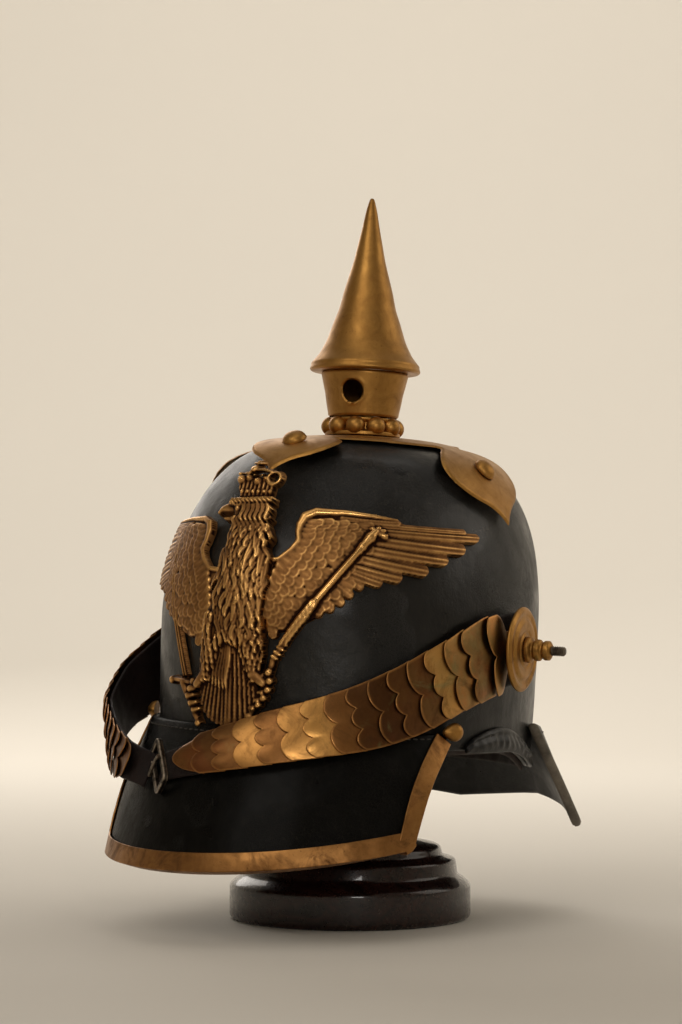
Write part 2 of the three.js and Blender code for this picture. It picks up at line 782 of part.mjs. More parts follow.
const POST_ROWS = [
  [0, 3.5],
  [6.1, 3.5],
  [6.7, 4.2],
  [6.7, 5.2],
  [4.5, 6],
  [4.5, 6.8],
  [5.65, 7.6],
  [5.65, 9.2],
  [4.5, 10],
  [4.5, 11.6],
  [5.2, 12.4],
  [5.2, 15.8],
  [3.6, 17],
  [2.35, 17.2],
  [2.35, 23.8],
  [1.7, 24.4],
  [0, 24.4],
];

function seatOnSide({ arc, height, lift, turn }) {
  const foot = onShell(arc, height, lift);
  const back = THREE.MathUtils.degToRad(turn);
  return { foot, normal: new THREE.Vector3(sign(arc) * cos(back), sin(back), 0) };
}

// A domed stud drawn out to a point on one side, towards -X of its own frame.
function makeTrimStud() {
  const stud = turned([
    [0, 0],
    [4.7, 0],
    [4.7, 0.8],
    [3.9, 3.2],
    [2.2, 4.6],
    [0, 5],
  ], 12);
  const place = stud.getAttribute('position');
  for (let i = 0; i < place.count; i += 1) {
    if (place.getX(i) < 0) place.setX(i, place.getX(i) * 1.55);
  }
  return stud;
}

const BUCKLE = { along: 15, across: 28, bar: 2.8, thick: 2.2, corner: 3 };

function roundedRectangle(width, height, corner, Kind) {
  const [x, y] = [width / 2, height / 2];
  const outline = new Kind();
  outline.moveTo(-x + corner, -y);
  outline.lineTo(x - corner, -y);
  outline.absarc(x - corner, -y + corner, corner, -PI / 2, 0);
  outline.absarc(x - corner, y - corner, corner, 0, PI / 2);
  outline.absarc(-x + corner, y - corner, corner, PI / 2, PI);
  outline.absarc(-x + corner, -y + corner, corner, PI, 1.5 * PI);
  return outline;
}

function makeBuckleFrame() {
  const { along, across, bar, thick, corner } = BUCKLE;
  const frame = roundedRectangle(along, across, corner, THREE.Shape);
  frame.holes.push(roundedRectangle(along - 2 * bar, across - 2 * bar, corner / 3, THREE.Path));
  const options = { depth: thick, bevelEnabled: false, curveSegments: 3 };
  return solid(new THREE.ExtrudeGeometry(frame, options));
}

function makeBuckleProng() {
  return solid(new THREE.CapsuleGeometry(1, BUCKLE.along - 1, 3, 8).rotateZ(PI / 2));
}

// ---------------------------------------------------------------- the stand

const STAND_ROWS = [
  [0, 0],
  [63, 0],
  [65, 2],
  [65, 18.5],
  [62.5, 21],
  [58, 24],
  [57, 32],
  [50, 34],
  [49, 38.5],
  [46, 40],
  [22, 45],
  [17, 60],
  [15, 110],
  [17, 190],
  [30, 214],
  [44, 226],
  [47, 236],
  [42, 245],
  [26, 251.5],
  [0, 254],
];

function makeStand() {
  return turned(STAND_ROWS, 28);
}

// ---------------------------------------------------------------- the assembly

const FINISH = {
  leather: { color: 0x14120f, roughness: 0.45, metalness: 0 },
  lining: { color: 0x2b1a10, roughness: 0.8, metalness: 0 },
  brass: { color: 0x8a6a35, roughness: 0.38, metalness: 1 },
  agedBrass: { color: 0x6d4526, roughness: 0.42, metalness: 1 },
  trimBrass: { color: 0x9c6a32, roughness: 0.35, metalness: 1 },
  steel: { color: 0x4a4038, roughness: 0.4, metalness: 1 },
  lacquer: { color: 0x1c0a08, roughness: 0.2, metalness: 0 },
};

const part = new THREE.Group();
const helmet = new THREE.Group();
helmet.rotation.y = LEAN;
helmet.position.z = BRIM_HEIGHT;
part.add(helmet);

function add(group, name, geometry, finish) {
  const mesh = new THREE.Mesh(geometry, new THREE.MeshStandardMaterial(finish));
  mesh.name = name;
  group.add(mesh);
  return mesh;
}

// Stands a piece modelled along +Z on a seat's foot, along the seat's normal.
function seat(mesh, { foot, normal }) {
  mesh.position.copy(foot);
  mesh.quaternion.setFromUnitVectors(new THREE.Vector3(0, 0, 1), normal);
}

add(helmet, 'shell', makeShell(), FINISH.leather);
add(helmet, 'sweatband', makeSweatband(), FINISH.lining);
add(helmet, 'front_visor', makeVisor(frontVisorFace, FRONT_VISOR.wall), FINISH.leather);
add(helmet, 'rear_visor', makeVisor(rearVisorFace, REAR_VISOR.wall), FINISH.leather);
add(helmet, 'visor_trim', makeTrim(), FINISH.trimBrass);
add(helmet, 'spike_base', makeSpikeBase(), FINISH.brass);
add(helmet, 'pearl_ring', makePearlRing(), FINISH.brass);
add(helmet, 'spike_neck', makeSpikeNeck(), FINISH.brass);
add(helmet, 'spike_cone', makeSpikeCone(), FINISH.brass);
add(helmet, 'eagle_plate', makeEagle(), FINISH.agedBrass);

const STUD_PLACES = {
  front: [0, -ARMS.front.stud],
  back: [0, ARMS.back.stud],
  left: [ARMS.side.stud, 0],
  right: [-ARMS.side.stud, 0],
};
for (const [name, [x, y]] of Object.entries(STUD_PLACES)) {
  const lift = armLift(x, y) + SPIKE_BASE.wall + 0.8;
  seat(add(helmet, `arm_stud_${name}`, makeArmStud(), FINISH.brass), seatOnCrown(x, y, lift));
}

const bands = { left: new Band(LEFT_ROUTE, 1, 14), right: new Band(RIGHT_ROUTE, -1, 3) };
for (const [name, side] of [['left', 1], ['right', -1]]) {
  const band = bands[name];
  add(helmet, `ear_roll_${name}`, makeEarRoll(side), FINISH.leather);
  add(helmet, `strap_${name}`, makeStrap(band, -10, band.length), FINISH.leather);
  for (let i = 0; i < SCALE.count; i += 1) {
    const label = String(i + 1).padStart(2, '0');
    add(helmet, `scale_${name}_${label}`, makeScale(band, i), FINISH.brass);
  }
  const rosetteSeat = seatOnSide(ROSETTES[name]);
  seat(add(helmet, `rosette_${name}`, makeRosette(ROSETTES[name]), FINISH.brass), rosetteSeat);
  seat(add(helmet, `rosette_post_${name}`, turned(POST_ROWS, 12), FINISH.brass), rosetteSeat);
  const studTurn = turnAt(side * FRONT_VISOR.endArc);
  const stud = add(helmet, `trim_stud_${name}`, makeTrimStud(), FINISH.brass);
  stud.position.copy(onShell(side * (FRONT_VISOR.endArc - 1), 9.5, 5.4));
  const outward = shellNormal(studTurn, 9.5);
  const back = new THREE.Vector3(-outward.y, outward.x, 0).multiplyScalar(side).normalize();
  stud.quaternion.setFromRotationMatrix(new THREE.Matrix4().makeBasis(
    back,
    outward.clone().cross(back).normalize(),
    outward,
  ));
}

const buckle = new THREE.Group();
const buckleAt = bands.left.length - 1;
const buckleLift = LEATHER + 0.5;
const middle = bands.left.point(buckleAt, 0, buckleLift);
const buckleAlong = bands.left.point(buckleAt + 1, 0, buckleLift).sub(middle).normalize();
const buckleOut = bands.left.point(buckleAt, 0, buckleLift + 1).sub(middle).normalize();
buckle.position.copy(middle);
buckle.quaternion.setFromRotationMatrix(new THREE.Matrix4().makeBasis(
  buckleAlong,
  buckleOut.clone().cross(buckleAlong).normalize(),
  buckleOut,
));
helmet.add(buckle);
add(buckle, 'buckle_frame', makeBuckleFrame(), FINISH.steel);
add(buckle, 'buckle_prong', makeBuckleProng(), FINISH.steel).position.z = BUCKLE.thick + 1.4;

add(part, 'stand', makeStand(), FINISH.lacquer);

export default part;
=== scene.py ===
"""The finished surfaces of a spiked leather helmet with brass fittings on its turned stand.

Shapes are worked out in millimetres in the helmet's own frame: +Z runs up the spike, -Y is the
front, +X is the wearer's left and z = 0 is the brim plane. HelmetPose carries them to the row
frame in metres. "arc" is a length round the helmet's plan from its front, positive on the
wearer's left.
"""

import logging
import math
from dataclasses import dataclass, field
from enum import Enum
from typing import Callable, Sequence

import bpy
import numpy as np
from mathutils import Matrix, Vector


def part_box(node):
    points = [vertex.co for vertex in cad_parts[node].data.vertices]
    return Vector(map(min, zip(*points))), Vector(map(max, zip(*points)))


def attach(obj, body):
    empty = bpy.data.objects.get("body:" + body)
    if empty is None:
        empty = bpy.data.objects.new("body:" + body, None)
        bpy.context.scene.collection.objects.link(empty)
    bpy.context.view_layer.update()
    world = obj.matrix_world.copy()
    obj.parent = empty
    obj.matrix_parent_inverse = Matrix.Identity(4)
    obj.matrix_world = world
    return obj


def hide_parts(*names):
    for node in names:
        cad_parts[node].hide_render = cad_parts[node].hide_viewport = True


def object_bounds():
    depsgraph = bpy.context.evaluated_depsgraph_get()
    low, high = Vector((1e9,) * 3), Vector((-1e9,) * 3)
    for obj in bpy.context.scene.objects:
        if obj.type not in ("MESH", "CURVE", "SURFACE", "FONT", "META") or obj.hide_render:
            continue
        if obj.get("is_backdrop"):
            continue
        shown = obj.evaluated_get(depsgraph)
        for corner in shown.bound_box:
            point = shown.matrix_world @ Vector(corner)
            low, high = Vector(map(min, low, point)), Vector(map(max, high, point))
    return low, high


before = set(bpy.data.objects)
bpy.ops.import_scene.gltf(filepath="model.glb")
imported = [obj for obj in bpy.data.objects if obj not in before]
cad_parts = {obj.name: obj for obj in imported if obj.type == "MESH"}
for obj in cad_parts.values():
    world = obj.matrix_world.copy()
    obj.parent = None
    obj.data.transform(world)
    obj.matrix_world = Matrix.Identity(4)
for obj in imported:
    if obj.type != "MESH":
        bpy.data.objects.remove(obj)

log = logging.getLogger("helmet")
CAD_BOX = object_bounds()
BODY = "root"
MM = 0.001
TINY = 1e-12  # keeps a division from being by nothing
FAR = 1e9  # farther than anything on the helmet
WELD_STEPS = 5e3  # steps to a millimetre: corners that round to the same one are merged
KEY_SPAN = 8_000_003  # more than there are such steps along any axis
THREAD_RADIUS = 0.42
THREAD_LIFT = 0.05
STITCH_HALF = 1.45  # half the length of one stitch
SHARP_FROM = 52  # degrees between two faces from which their edge shows as sharp

Array = np.ndarray
Point = Sequence[float]
Colour = tuple[float, float, float]
Pair = tuple[float, float]
Triple = tuple[float, float, float]
Material = bpy.types.Material
Socket = bpy.types.NodeSocket


# ------------------------------------------------------------------ numbers


def smoothstep(value: Array, low: float, high: float) -> Array:
    """An S-shaped step from 0 at low to 1 at high."""
    share = np.clip((np.asarray(value, float) - low) / (high - low), 0, 1)
    return share * share * (3 - 2 * share)


def unit(vectors: Array) -> Array:
    """The vectors at length 1."""
    return vectors / np.maximum(np.linalg.norm(vectors, axis=-1, keepdims=True), TINY)


def lerp(start: Array, end: Array, share: Array) -> Array:
    """The point a share of the way from start to end."""
    return start + (end - start) * share


def stack(x: Array, y: Array, z: Array) -> Array:
    """Three arrays as one array of points."""
    return np.stack(np.broadcast_arrays(x, y, z), axis=-1).astype(float)


def domed(share: Array, power: float = 2) -> Array:
    """A dome's height: 1 in the middle and 0 from the share 1 outwards."""
    return np.sqrt(np.maximum(0, 1 - np.minimum(share, 1) ** power))


def round_edge(distance: Array, radius: float) -> Array:
    """A quarter-round rise from 0 at an edge to 1 at the radius away from it."""
    return domed(1 - np.clip(distance / radius, 0, 1))


def edge_gap(a: Array, b: Array, length: float, width: float) -> Array:
    """The real distance from the shares a and b of a sheet to the nearest of its four edges."""
    return np.minimum(np.minimum(a, 1 - a) * length, np.minimum(b, 1 - b) * width)


def bell(value: Array, middle: float, width: float) -> Array:
    """A soft bump of height 1 about a middle."""
    return np.exp(-(((value - middle) / width) ** 2))


def round_turns(count: int, start: float = 0) -> Array:
    """Even steps once round from a start, without the one that closes the circle."""
    return np.linspace(start, start + 2 * np.pi, count, endpoint=False)


def edge_spaced(count: int, length: float, margin: float) -> Array:
    """Shares from 0 to 1 with extra ones close to both ends.

    Args:
        count: how many even steps lie between the two margins.
        length: the real length that the shares span.
        margin: the real length of the finely stepped stretch at each end.
    Returns:
        The shares in order.
    """
    near = margin / length * (1 - np.cos(np.linspace(0, np.pi / 2, 5)))
    middle = np.linspace(near[-1], 1 - near[-1], count + 1)
    return np.concatenate([near[:-1], middle, (1 - near[:-1])[::-1]])


def ripple(points: Array, wavelength: float, seed: int) -> Array:
    """A soft random relief of about -1 to 1: the sum of plane waves in random directions."""
    waves = 14
    rng = np.random.default_rng(seed)
    stretch = rng.uniform(0.7, 1.4, (waves, 1)) * 2 * np.pi / wavelength
    directions = unit(rng.normal(size=(waves, 3))) * stretch
    phases = rng.uniform(0, 2 * np.pi, waves)
    return np.cos(points @ directions.T + phases).sum(axis=-1) / math.sqrt(waves)


def filleted(rows: Sequence[Pair], radius: float, steps: int = 4) -> Array:
    """A profile whose corners are rounded by quadratic curves that start a radius before them.

    Args:
        rows: the profile's corners.
        radius: how far from each corner its curve starts and ends.
        steps: how many steps each curve has.
    Returns:
        The points of the rounded profile.
    """
    corners = np.array(rows, float)
    points = [corners[:1]]
    share = np.linspace(0, 1, steps + 1)[:, None]
    for before, corner, after in zip(corners[:-2], corners[1:-1], corners[2:]):
        back, ahead = before - corner, after - corner
        start = corner + back * min(0.45, radius / np.linalg.norm(back))
        end = corner + ahead * min(0.45, radius / np.linalg.norm(ahead))
        points.append(lerp(lerp(start, corner, share), lerp(corner, end, share), share))
    return np.concatenate([*points, corners[-1:]])


def dome_rows(radius: float, foot: float, top: float, count: int) -> Array:
    """A dome's profile: rows of radius and height from its foot up to the axis."""
    turn = np.linspace(0, np.pi / 2, count)
    rows = np.stack([radius * np.cos(turn), foot + (top - foot) * np.sin(turn)], axis=1)
    rows[-1, 0] = 0
    return rows


def with_ends(rows: Array) -> Array:
    """The rows with one more at each end, a step on in a straight line."""
    return np.concatenate([2 * rows[:1] - rows[1:2], rows, 2 * rows[-1:] - rows[-2:-1]])


def spline(rows: Array, count: int) -> Array:
    """Points of a uniform Catmull-Rom curve through the rows.

    Args:
        rows: the curve's own points.
        count: how many points to return.
    Returns:
        The curve's points, evenly spaced by row.
    """
    padded = with_ends(rows)
    place = np.linspace(0, len(rows) - 1.000001, count)
    row = place.astype(int)
    t = (place - row)[:, None]
    p0, p1, p2, p3 = (padded[row + k] for k in range(4))
    bend = 2 * p0 - 5 * p1 + 4 * p2 - p3
    twist = 3 * (p1 - p2) + p3 - p0
    return 0.5 * (2 * p1 + (p2 - p0) * t + bend * t**2 + twist * t**3)


# ------------------------------------------------------------------ where the helmet sits


class Side(Enum):
    """The two sides of the helmet, as the wearer has them."""

    LEFT = 1
    RIGHT = -1

    @property
    def label(self) -> str:
        """The side as the names of pieces have it."""
        return self.name.lower()


@dataclass(frozen=True)
class HelmetPose:
    """The helmet's own frame on its stand: the brim's centre and the way up the spike."""

    centre: Array
    up: Array

    @classmethod
    def from_frame(cls, tip_height: float) -> "HelmetPose":
        """The spike's axis runs from the middle of the cone's corners to its highest one.

        Args:
            tip_height: the height of the spike's tip over the brim plane.
        Returns:
            The pose that the frame's cone has.
        """
        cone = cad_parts["spike_cone"].data
        corners = np.empty(len(cone.vertices) * 3)
        cone.vertices.foreach_get("co", corners)
        corners = np.unique(np.round(corners.reshape(-1, 3) / MM, 3), axis=0)
        tip = corners[corners[:, 2].argmax()]
        up = unit(tip - corners.mean(axis=0))
        up[1] = 0
        up = unit(up)
        return cls(tip - tip_height * up, up)

    def to_row(self, points: Array) -> Array:
        """Helmet points in millimetres as row-frame points in metres."""
        right = np.array([self.up[2], 0, -self.up[0]])
        axes = np.stack([right, [0, 1, 0], self.up])
        return (points @ axes + self.centre) * MM


@dataclass(frozen=True)
class HelmetForm:
    """The outer surface of the leather shell: a superellipse plan under a full dome."""

    half_width: float = 96
    front_length: float = 115
    back_length: float = 107
    crown_shift: float = 8
    shift_heights: Pair = (60, 140)
    plan_power: float = 2.1
    dome_start: float = 65
    crown: float = 159.5
    dome_sharpness: float = 1.83
    dome_fullness: float = 3.89
    rim_taper: float = 0.015
    front_rim: float = -1
    back_rim: float = -13
    ear_turns: Pair = (1.52, 2.05)
    flat_reach: float = 97
    walked_reach: float = 112

    def scale(self, z: Array) -> Array:
        """The plan's scale at a height."""
        below = 1 - self.rim_taper * (np.maximum(0, self.dome_start - z) / self.dome_start) ** 2
        rise = np.clip((z - self.dome_start) / (self.crown - self.dome_start), 0, 1)
        dome = (1 - rise**self.dome_sharpness) ** (1 / self.dome_fullness)
        return np.where(z <= self.dome_start, below, dome)

    def shift(self, z: Array) -> Array:
        """How far back the section at a height lies."""
        return self.crown_shift * smoothstep(z, *self.shift_heights)

    def plan(self, turn: Array) -> tuple[Array, Array]:
        """The plan's outline: turn 0 is the front and pi / 2 the wearer's left."""
        power = 2 / self.plan_power
        x = np.sign(np.sin(turn)) * np.abs(np.sin(turn)) ** power * self.half_width
        half = np.where(np.cos(turn) > 0, self.front_length, self.back_length)
        return x, -np.sign(np.cos(turn)) * np.abs(np.cos(turn)) ** power * half

    def arcs(self) -> tuple[Array, Array]:
        """A table of turns from 0 to pi and the arc lengths that they reach."""
        turns = np.linspace(0, np.pi, 721)
        x, y = self.plan(turns)
        steps = np.hypot(np.diff(x), np.diff(y))
        return turns, np.concatenate([[0], np.cumsum(steps)])

    def turn_at(self, arc: Array) -> Array:
        """The turn at an arc length from the front."""
        turns, lengths = self.arcs()
        return np.sign(arc) * np.interp(np.abs(arc), lengths, turns)

    def half_girth(self) -> float:
        """The arc length from the front to the back."""
        return float(self.arcs()[1][-1])

    def point(self, turn: Array, z: Array) -> Array:
        """The surface's point at a turn and a height."""
        x, y = self.plan(turn)
        scale = self.scale(z)
        return stack(x * scale, y * scale + self.shift(z), z)

    def normal(self, turn: Array, z: Array) -> Array:
        """The outward normal, from the steps along and up the surface."""
        step, rise = 1e-3, 0.05
        high = np.minimum(z + rise, self.crown - step)
        along = self.point(turn + step, z) - self.point(turn - step, z)
        up = self.point(turn, high) - self.point(turn, high - 2 * rise)
        return unit(np.cross(along, up))

    def on_shell(self, arc: Array, z: Array, lift: Array) -> Array:
        """The point at an arc and a height, lifted off the surface."""
        turn = self.turn_at(np.asarray(arc, float))
        z = np.asarray(z, float)
        return self.point(turn, z) + self.normal(turn, z) * np.asarray(lift, float)[..., None]

    def rim(self, turn: Array) -> Array:
        """The rim's height: level under the front visor and lower behind the ears."""
        return lerp(self.front_rim, self.back_rim, smoothstep(np.abs(turn), *self.ear_turns))

    def dome_height(self, x: Array, y: Array) -> Array:
        """The dome's height over a point of the plan, found by halving."""
        low = np.full(np.shape(x), self.dome_start, float)
        high = np.full(np.shape(x), self.crown, float)
        for _ in range(26):
            z = (low + high) / 2
            back = y - self.shift(z)
            scale = np.maximum(self.scale(z), 1e-6)
            half = np.where(back < 0, self.front_length, self.back_length)
            across = np.abs(x / (self.half_width * scale)) ** self.plan_power
            inside = across + np.abs(back / (half * scale)) ** self.plan_power < 1
            low, high = np.where(inside, z, low), np.where(inside, high, z)
        return low

    def on_crown(self, x: Array, y: Array, lift: Array) -> Array:
        """The point reached by walking over the dome from the spike's axis.

        The flat offset (x, y) gives the bearing and the length of the walk. A table of walks over
        all bearings is made once and read between its entries.

        Args:
            x, y: the flat offsets.
            lift: the height off the dome.
        Returns:
            The points.
        """
        bearings = np.linspace(-np.pi, np.pi, 181)[:, None]
        reaches = np.linspace(0, self.flat_reach, 195)[None, :]
        east, north = reaches * np.sin(bearings), -reaches * np.cos(bearings)
        climb = np.diff(self.dome_height(east, north), axis=1)
        walked = np.cumsum(np.hypot(climb, reaches[0, 1]), axis=1)
        walked = np.concatenate([np.zeros((len(bearings), 1)), walked], axis=1)
        lengths = np.linspace(0, self.walked_reach, 225)
        table = np.stack([np.interp(lengths, row, reaches[0]) for row in walked])
        bearing = np.arctan2(x, -y)
        column = np.clip(np.hypot(x, y) / lengths[1], 0, len(lengths) - 1.001)
        line = np.clip((bearing + np.pi) / (2 * np.pi) * 180, 0, 179.999)
        i, j = line.astype(int), column.astype(int)
        low = lerp(table[i, j], table[i, j + 1], column - j)
        high = lerp(table[i + 1, j], table[i + 1, j + 1], column - j)
        reach = lerp(low, high, line - i)
        px, py = reach * np.sin(bearing), -reach * np.cos(bearing)
        slope_x = self.dome_height(px - 0.5, py) - self.dome_height(px + 0.5, py)
        slope_y = self.dome_height(px, py - 0.5) - self.dome_height(px, py + 0.5)
        normal = unit(stack(slope_x, slope_y, 1.0))
        lifted = normal * np.asarray(lift, float)[..., None]
        return stack(px, py, self.dome_height(px, py)) + lifted


FORM = HelmetForm()
TIP_HEIGHT = 293.0
POSE = HelmetPose.from_frame(TIP_HEIGHT)


# ------------------------------------------------------------------ closed meshes


@dataclass
class Solid:
    """A closed mesh: corners, faces of four corners, and named values at its corners."""

    corners: Array
    faces: Array
    values: dict[str, Array] = field(default_factory=dict)

    @classmethod
    def grid(
        cls, points: Array, wrap_rows: bool = False, wrap_columns: bool = False,
        values: dict[str, Array] | None = None, kept: Array | None = None,
    ) -> "Solid":
        """One sheet of quads over a grid of points.

        Args:
            points: the grid, rows by columns by 3.
            wrap_rows: the last row joins the first.
            wrap_columns: the last column joins the first.
            values: named numbers on the same grid.
            kept: which cells are there, for a sheet with a free outline.
        Returns:
            The sheet, which closes where its edges meet exactly.
        """
        rows, columns = points.shape[:2]
        index = np.arange(rows * columns).reshape(rows, columns)
        if wrap_rows:
            index = np.concatenate([index, index[:1]], axis=0)
        if wrap_columns:
            index = np.concatenate([index, index[:, :1]], axis=1)
        cells = np.stack([index[:-1, :-1], index[:-1, 1:], index[1:, 1:], index[1:, :-1]], axis=-1)
        faces = cells.reshape(-1, 4) if kept is None else cells[kept]
        flat = {name: np.asarray(v, float).reshape(-1) for name, v in (values or {}).items()}
        return cls(points.reshape(-1, 3), faces, flat)

    @classmethod
    def between(
        cls, outer: Array, inner: Array, values: dict[str, Array] | None = None,
        kept: Array | None = None, wrap_columns: bool = False,
    ) -> "Solid":
        """The wall between two sheets that meet exactly along their edges."""
        front = cls.grid(outer, wrap_columns=wrap_columns, values=values, kept=kept)
        back = cls.grid(inner, wrap_columns=wrap_columns, values=values, kept=kept)
        back.faces = back.faces[:, ::-1]
        return cls.joined([front, back])

    @classmethod
    def joined(cls, solids: Sequence["Solid"]) -> "Solid":
        """Several solids as one; a value that one of them lacks is 0 there."""
        names = sorted({name for s in solids for name in s.values})
        starts = np.cumsum([0] + [len(s.corners) for s in solids])
        faces = np.concatenate([s.faces + start for s, start in zip(solids, starts)])
        values = {
            name: np.concatenate([s.values.get(name, np.zeros(len(s.corners))) for s in solids])
            for name in names
        }
        return cls(np.concatenate([s.corners for s in solids]), faces, values)

    @classmethod
    def lathe(cls, profile: Array, segments: int, bend: Callable | None = None) -> "Solid":
        """A turned solid about +Z, from a profile that starts and ends on the axis or closes.

        Args:
            profile: rows of radius and height.
            segments: how many steps go round.
            bend: what changes the points, if anything, given them and their turns.
        Returns:
            The solid.
        """
        turn = round_turns(segments)[None, :]
        radius, height = profile[:, :1], profile[:, 1:]
        points = stack(radius * np.cos(turn), radius * np.sin(turn), height)
        if bend is not None:
            points = bend(points, turn)
        closed = not (abs(profile[0, 0]) < 1e-9 and abs(profile[-1, 0]) < 1e-9)
        return cls.grid(points, wrap_rows=closed, wrap_columns=True)

    def placed(self, origin: Array, axes: Array) -> "Solid":
        """The solid with its own X, Y and Z along the rows of axes, from an origin."""
        return Solid(self.corners @ axes + origin, self.faces, self.values)

    def with_value(self, name: str, value: float) -> "Solid":
        """The solid with one number at all its corners."""
        self.values[name] = np.full(len(self.corners), float(value))
        return self

    def welded(self) -> tuple[Array, Array, Array, dict[str, Array]]:
        """Merges corners that coincide and drops the faces that this closes up.

        Returns:
            The corners, the faces of four, the faces of three, and the values.
        """
        keys = np.round(self.corners * WELD_STEPS).astype(np.int64)
        keys = (keys[:, 0] * KEY_SPAN + keys[:, 1]) * KEY_SPAN + keys[:, 2]
        _, first, inverse = np.unique(keys, return_index=True, return_inverse=True)
        faces = inverse[self.faces]
        ordered = np.sort(faces, axis=1)
        _, which, counts = np.unique(ordered, axis=0, return_inverse=True, return_counts=True)
        faces = faces[counts[which.reshape(-1)] == 1]
        same = faces == np.roll(faces, -1, axis=1)
        crossed = (faces[:, 0] == faces[:, 2]) | (faces[:, 1] == faces[:, 3])
        fours = faces[(same.sum(axis=1) == 0) & ~crossed]
        pinched = (same.sum(axis=1) == 1) & ~crossed
        threes = faces[pinched][~same[pinched]].reshape(-1, 3)
        used = np.zeros(len(first), bool)
        used[fours] = True
        used[threes] = True
        renumbered = np.cumsum(used) - 1
        fours, threes = renumbered[fours], renumbered[threes]
        values = {name: value[first][used] for name, value in self.values.items()}
        corners = self.corners[first][used]
        a, b, c, d = (corners[fours[:, k]] for k in range(4))
        volume = np.einsum("ij,ij->", a, np.cross(b, c) + np.cross(c, d))
        p, q, r = (corners[threes[:, k]] for k in range(3))
        volume += np.einsum("ij,ij->", p, np.cross(q, r))
        if volume < 0:
            fours, threes = fours[:, ::-1], threes[:, ::-1]
        return corners, fours, threes, values


def slab(
    face: Callable[[Array, Array], Array], a: Array, b: Array,
    half: Callable[[Array, Array], Array], values: dict[str, Array] | None = None,
) -> Solid:
    """A plate about a middle surface, whose thickness runs out to nothing at its edges.

    Args:
        face: the middle surface's point at shares a and b.
        a: the shares along, in order from 0 to 1.
        b: the shares across, in order from 0 to 1.
        half: half the thickness at shares a and b, 0 along all four edges.
        values: named numbers on the grid.
    Returns:
        The closed plate.
    """
    along, across = np.meshgrid(a, b)
    step = 1e-3
    run = face(along + step, across) - face(along - step, across)
    fall = face(along, across + step) - face(along, across - step)
    normal = unit(np.cross(fall, run))
    middle = face(along, across)
    lift = normal * half(along, across)[..., None]
    return Solid.between(middle + lift, middle - lift, values)


def swept(path: Array, out: Array, up: Array, section: Array, closed: bool = False) -> Solid:
    """A section carried along a path.

    Args:
        path: the path's points.
        out, up: the directions, at each point, of the section's two coordinates.
        section: the closed section's points, rows of two coordinates.
        closed: the path joins itself; otherwise its ends are capped.
    Returns:
        The closed solid.
    """
    first, second = section[None, :, :1], section[None, :, 1:]
    points = path[:, None, :] + out[:, None, :] * first + up[:, None, :] * second
    if not closed:
        ends = points.mean(axis=1, keepdims=True).repeat(points.shape[1], axis=1)
        points = np.concatenate([ends[:1], points, ends[-1:]])
    return Solid.grid(points, wrap_rows=closed, wrap_columns=True)


def frame_axes(normal: Array, along: Array) -> Array:
    """Rows X, Y, Z with Z on the normal and X as near as it can be to along."""
    z = unit(np.asarray(normal, float))
    x = unit(along - z * (along @ z))
    return np.stack([x, np.cross(z, x), z])


# ------------------------------------------------------------------ shader nodes


